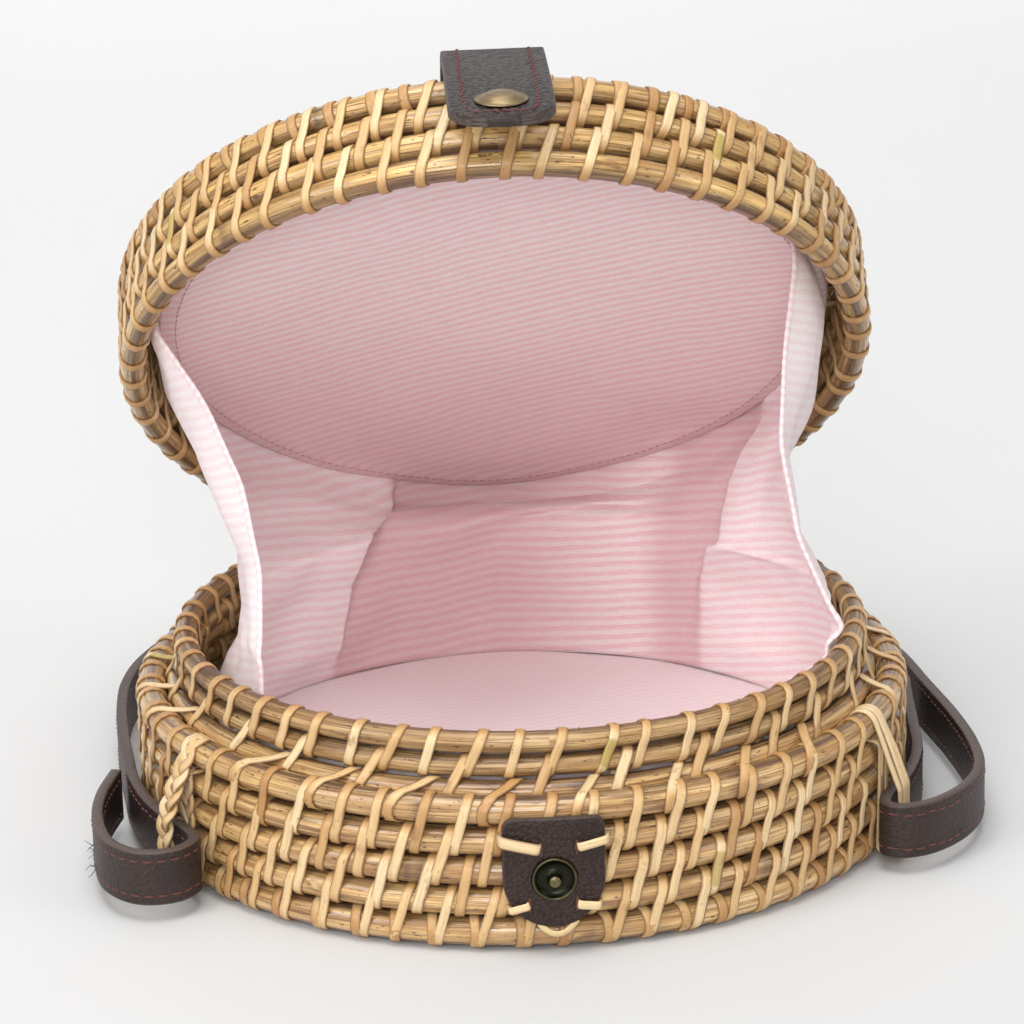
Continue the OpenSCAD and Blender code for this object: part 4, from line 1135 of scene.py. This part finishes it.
def patch():
    """The leather patch on the wall: front, rounded rim and back, as rings round the snap's hole."""
    t = circle(240)[:-1]
    reach = patch_reach(t)
    hole, edge, n = 5.5, 0.6, 12
    rings = [hole + (reach - edge - hole) * f for f in np.linspace(0, 1, n)]
    bends = [(reach - edge * (1 - math.sin(w)), PATCH_T - edge * (1 - math.cos(w))) for w in (PI / 4, PI / 2)]
    rr = np.array(rings + [r for r, _ in bends] + [reach] + rings[::-1])
    deep = np.array([PATCH_T] * n + [d for _, d in bends] + [0.3] + [0.0] * n)[:, None]
    tint = np.array([0.0] * n + [0.5] * 2 + [1.0] + [0.3] * n)[:, None]
    x, z = rr * np.cos(t) + CLOSURE_X, SNAP_Z + rr * np.sin(t)
    wave = 0.12 * np.sin(x / 5.0) * np.cos(z / 6.0)
    shell = Shell()
    p = cylinder_front(x, z, PATCH_IN_R + deep + wave * (deep > 1))
    shell.add(p, (True, True), stacked(x, z, deep), tint)
    shell.build("patch_leather", PLAIN_LEATHER, "basket", "leather", ("snap_patch",))


patch()


def rope_strip(shell, pts, nrm, width, tint, offset, closed=False):
    """A strip of cane along the points, with its face toward nrm."""
    ahead = heading(pts, closed)
    nrm = squared(nrm, ahead)
    side = unit(np.cross(nrm, ahead))
    strip_mesh(shell, pts - nrm * CANE_T / 2, nrm, side, width, CANE_T, tint, offset, closed)


# The patch's ties: each strip comes out of one slot, lies on the leather and goes into the next
shell = Shell()
slots = Shell()
f = np.linspace(0, 1, 17)
lift = 0.25 + 0.75 * np.clip(np.minimum(f, 1 - f) * 7, 0, 1) ** 0.5
arc_z = PATCH_LOW + PATCH_HALF
for sx, z, rise, wide, long in ((-1, 30.2, 1.5, 3.0, 10.4), (1, 30.2, 1.1, 2.2, 8.0),
                                (-1, 13.6, -0.9, 1.9, 5.2), (1, 13.8, -0.5, 2.2, 6.0)):
    half_w = PATCH_HALF if z > arc_z else math.sqrt(PATCH_HALF ** 2 - (arc_z - z) ** 2)
    x0 = CLOSURE_X + sx * (half_w + 0.9)
    x1 = x0 - sx * long
    zz = z + rise * (1 - 2 * f) * 0.8
    pts = cylinder_front(x0 + (x1 - x0) * f, zz, PATCH_OUT_R - 0.05 + lift)
    pts[0] = cylinder_front(x0 + sx * 0.15, zz[0], PATCH_IN_R - 0.1)
    pts[-1] = cylinder_front(x1, zz[-1], SLOT_R)
    nrm = 2 * unit(pts * (1, 1, 0)) - (0, 1.0, 0)
    rope_strip(shell, pts, nrm, wide, 0.82 if sx < 0 else 0.9, 40 * z + sx)
    thread(slots, cylinder_front(x1, np.linspace(-1.8, 1.8, 5) + zz[-1], PATCH_OUT_R + 0.02), 0.5, z)
# One more strip curves from slot to slot below them
f = np.linspace(0, 1, 21)
bow = np.sin(PI * f)
pts = cylinder_front(-4.4 + 9.4 * f, 9.0 - 2.9 * bow ** 0.8 + 0.6 * f, SLOT_R + 0.9 * bow)
rope_strip(shell, pts, unit(pts * (1, 1, 0)), 1.5, 0.92, 7.0)
build_strips("patch_strips", shell, "patch_ties")
slots.build("patch_slots", SLOT_LEATHER, "basket", "leather")


# Brass

def lathe(name, profile, place, material, node, body="tab", tints=0.0, sides=96, closed=False):
    """A turned piece: profile is its outline, as radius and height, from axis to axis or closed on itself."""
    profile = np.array(profile, float)
    t = circle(sides)
    r, h = profile[:, :1], profile[:, 1:]
    if closed:
        grain = stacked(t * 3, lengths(np.vstack([profile, profile[:1]]))[:, None], 0.0)
    else:
        grain = stacked(t * np.maximum(r, 0.5), lengths(profile)[:, None], h)
    shell = Shell()
    shell.add(place(stacked(r * np.cos(t[:-1]), r * np.sin(t[:-1]), h)), (closed, True), grain,
              np.reshape(tints, (-1, 1)), caps=not closed)
    shell.build(name, material, body, "snap_metal", (node,))


def on_flap(p):
    """A turned piece, placed on the flap's outer face."""
    return flap_frame(stacked(p[..., 0], -CAP_SEAT - p[..., 2], p[..., 1] - SNAP_REACH))


def behind_flap(p):
    """A turned piece, placed on the flap's back."""
    return flap_frame(stacked(p[..., 0], SOCKET_SEAT + p[..., 2], p[..., 1] - SNAP_REACH))


def on_patch(p):
    """A turned piece, placed on the patch."""
    return stacked(p[..., 0] + CLOSURE_X, -PATCH_IN_R - STUD_SEAT - p[..., 2], p[..., 1] + SNAP_Z)


def dome(r, h):
    """Outline of a round cap of radius r and height h, from its top down."""
    big = (r * r + h * h) / (2 * h)
    t = math.asin(r / big) * np.arange(11) / 10
    return stacked(np.maximum(big * np.sin(t), 0.05), h - big + big * np.cos(t)).tolist()


lathe("snap_cap_brass", dome(5.9, 2.1) + [(6.3, 0.28), (6.55, 0.05), (6.5, -0.2), (6.2, -0.3), (0.05, -0.3)],
      on_flap, CAP_BRASS, "snap_cap")
lathe("snap_socket_brass", [(2.5, 0.1), (5.2, 0.1), (5.35, 0.35), (5.1, 0.75), (3.9, 0.85), (3.5, 1.2),
                            (3.1, 1.2), (2.6, 0.8), (2.5, 0.6)],
      behind_flap, BRASS, "snap_socket", tints=0.2, sides=72, closed=True)
# The stud's radii, heights and tints
stud = np.array([(0.05, 4.2, 0), (1.0, 4.15, 0), (1.4, 3.9, 0.1), (1.55, 3.5, 0.2), (1.35, 3.0, 0.3),
                 (1.45, 1.5, 0.85), (2.2, 0.95, 0.9), (3.1, 0.8, 0.9), (4.1, 1.0, 0.9), (4.7, 1.6, 0.9),
                 (4.95, 2.0, 0.7), (5.2, 2.25, 0.35), (5.5, 2.2, 0.5), (5.7, 1.9, 0.6), (5.4, 1.7, 0.5),
                 (5.3, 0.05, 0.5), (0.05, 0.05, 0.5)])
lathe("snap_stud_brass", stud[:, :2], on_patch, ENAMEL, "snap_stud", "basket", stud[:, 2])


# Rings and ties

def arc(centre, radius, start, end, n):
    t = np.radians(np.linspace(start, end, n))
    return np.array(centre) + radius * stacked(np.cos(t), np.sin(t))


def ring_route():
    """Closed route of the strap's rings, in radius and height: over the top wall rod and under the strap."""
    r = WALL_D / 2 + 0.4
    near, bow, low = 105.2, 1.5, 2.5
    far = near + 6
    pts = [arc((WALL_R, WALL_TOP), r, 20, 270, 19), arc((near - bow, WALL_TOP - r - bow), bow, 90, 0, 4),
           arc((near + bow, low + bow), bow, 180, 270, 4), arc((far - bow, low + bow), bow, 270, 350, 4),
           [(far, STRAP_LOW + STRAP_W * 1.1)]]
    pts = np.vstack(pts)
    return resample(np.vstack([pts, pts[:1]]), 121)[:-1]


def ring_strands(name, angle, node, braided, seed):
    """A ring of three cane strands at that angle, braided or laid side by side."""
    strands = 3
    route = ring_route()
    ahead = heading(route, True)
    out2 = stacked(ahead[:, 1], -ahead[:, 0])
    out2 *= np.sign(((route - route.mean(0)) * out2).sum())
    out, et = directions(angle)
    base = route[:, :1] * out + route[:, 1:] * UP
    nrm = out2[:, :1] * out + out2[:, 1:] * UP
    s = lengths(np.vstack([base, base[:1]]))
    s, total = s[:-1], s[-1]
    visible = smoothstep(route[:, 0], 104.2, 108.5) * smoothstep(route[:, 1], 1.5, 7)
    rng = np.random.default_rng(seed)
    shell = Shell()
    for k in range(strands):
        if braided:
            phase = 2 * PI * (round(total / 15) * s / total + k / strands)
            side, lift, width = 2.3 * np.sin(phase), (0.75 * np.sin(2 * phase) + 0.8) * visible, 2.9
        else:
            side = (k - (strands - 1) / 2) * 2.3 + 0.6 * np.sin(2 * PI * s / total + k * 2)
            lift, width = visible * (0.3 + 0.25 * np.sin(4 * PI * s / total + k)), 2.4
        pts = base + side[:, None] * et + lift[:, None] * nrm
        rope_strip(shell, pts, nrm, width, rng.uniform(0.55, 0.9), 31.0 * k + seed, closed=True)
    obj = shell.build(name, CANE, "basket", "cane", (node,), ride=False)
    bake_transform(obj)


ring_strands("strap_plait_left", RING_LEFT, "strap_ring_left", True, 3)
ring_strands("strap_tie_right", RING_RIGHT, "strap_ring_right", False, 5)

for name, a, node in (("hinge_strip_left", 180 + TIE_ANGLE, "hinge_tie_left"),
                      ("hinge_strip_right", 180 - TIE_ANGLE, "hinge_tie_right")):
    rim = opened(around(LID_R, a, LID_RIM))
    pts, nrm = belt((WALL_R, WALL_TOP), WALL_D / 2 + CANE_CLEAR + 0.1,
                    (math.hypot(rim[0], rim[1]), rim[2]), LID_D / 2 + 0.2)
    out, et = directions(math.degrees(math.atan2(rim[0], -rim[1])))
    shell = Shell()
    for k, off in enumerate((-1.35, 1.35)):
        p = pts[:, :1] * out + pts[:, 1:] * UP + off * et
        n = nrm[:, :1] * out + nrm[:, 1:] * UP
        strip_mesh(shell, p, n, unit(np.cross(n, heading(p, True))), 2.3, CANE_T, 0.7 - 0.2 * k, 11.0 * k + a)
    obj = shell.build(name, CANE, "basket", "cane", (node,), ride=False)
    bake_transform(obj)

# The two ties that hold the tab's root on the lid
shell = Shell()
low_z, high_z = FACE_Z - LID_D / 2 - 0.35, TAB_Z + LEATHER_T / 2 + 0.35
corners = np.array([(0, low_z), (2 * FACE_PITCH, low_z), (2 * FACE_PITCH, high_z), (0, high_z)])
box_path = np.vstack([a + (b - a) * np.linspace(0.08, 0.92, 9)[:, None]
                      for a, b in zip(corners, np.roll(corners, -1, 0))])
for side, tint in ((-1, 0.65), (1, 0.8)):
    out = directions(side * TAB_TIE)[0]
    p = (TAB_TIE_R + box_path[:, :1]) * out + box_path[:, 1:] * UP + (CLOSURE_X, 0, 0)
    n = unit(p - p.mean(0))
    p, n = opened(p), unit(opened(p + n) - opened(p))
    rope_strip(shell, p, n, 2.6, tint, 5.0 * side, closed=True)
build_strips("tab_strips", shell, "tab_ties", "lid")


# Stage, camera and lights

def plain_stage():
    """A pale floor that bends up into a wall behind the bag, greyer toward the front as painted shade."""
    look = Look("stage_floor", Roughness=0.9)
    g = look.node("TexCoord", "Object")
    # Painted shade: the floor's grey darkens from the wall toward the front
    tone = look.math("MULTIPLY_ADD", look.split(g)[1], 0.4, 0.2)
    tone = look.math("MULTIPLY_ADD", look.noise(g, (6, 6, 6)), 0.02, tone)
    look.finish(Base_Color=look.ramp(tone, (0.0, 0.52), (0.22, 0.62), (0.6, 0.84), (1.0, 0.93)))
    width, back, height, bend = 4.0, 1.6, 2.4, 0.6
    start = back - bend
    profile = [(-3.0, 0.0), (start, 0.0)]
    profile += [(start + bend * math.sin(t), bend - bend * math.cos(t)) for t in np.linspace(0.1, PI / 2, 14)]
    profile += [(back, height)]
    verts = [(side * width, y, z - 0.0002) for y, z in profile for side in (-1, 1)]
    faces = [(2 * k, 2 * k + 1, 2 * k + 3, 2 * k + 2) for k in range(len(profile) - 1)]
    mesh = bpy.data.meshes.new("stage_floor")
    mesh.from_pydata(verts, [], faces)
    mesh.polygons.foreach_set("use_smooth", np.ones(len(faces), bool))
    mesh.materials.append(look.material)
    obj = bpy.data.objects.new("stage_floor", mesh)
    bpy.context.scene.collection.objects.link(obj)


def area_light(name, place, target, size, power):
    data = bpy.data.lights.new(name, "AREA")
    data.shape, data.size, data.energy = "SQUARE", size, power
    obj = bpy.data.objects.new(name, data)
    obj.location = place
    obj.rotation_euler = (Vector(target) - Vector(place)).to_track_quat("-Z", "Y").to_euler()
    bpy.context.scene.collection.objects.link(obj)


def studio():
    plain_stage()
    middle, wall_foot = (0, 0, 0.08), (0, 1.5, 0.4)
    for light in (("light_top", (-0.15, -0.45, 1.6), middle, 1.0, 16),
                  ("light_left", (-1.35, -0.85, 0.95), middle, 0.8, 12),
                  ("light_right", (1.35, -0.75, 0.9), middle, 0.8, 5),
                  ("light_front", (-0.2, -1.5, 0.7), middle, 0.6, 11),
                  ("light_back", (0, 0.75, 2.1), wall_foot, 1.4, 10)):
        area_light(*light)
    scene = bpy.context.scene
    scene.world = bpy.data.worlds.new("studio")
    scene.world.use_nodes = True
    ground = scene.world.node_tree.nodes["Background"]
    ground.inputs["Color"].default_value = (1, 1, 1, 1)
    ground.inputs["Strength"].default_value = 0.3
    # The camera was fitted to the rims of basket and lid in the photograph, 1024 pixels wide
    data = bpy.data.cameras.new("camera")
    data.sensor_width = 36
    data.lens = 3721.696 / 1024 * data.sensor_width
    data.clip_start, data.clip_end = 0.05, 20
    cam = bpy.data.objects.new("camera", data)
    right, up = Vector((0.996846, -0.076429, -0.021348)), Vector((0.043518, 0.301558, 0.952454))
    place = Matrix((right, up, right.cross(up))).transposed().to_4x4()
    place.translation = Vector((-67.865, -950.274, 385.960)) * MM
    cam.matrix_world = place
    scene.collection.objects.link(cam)
    scene.camera = cam
    scene.view_settings.view_transform = "Standard"


studio()
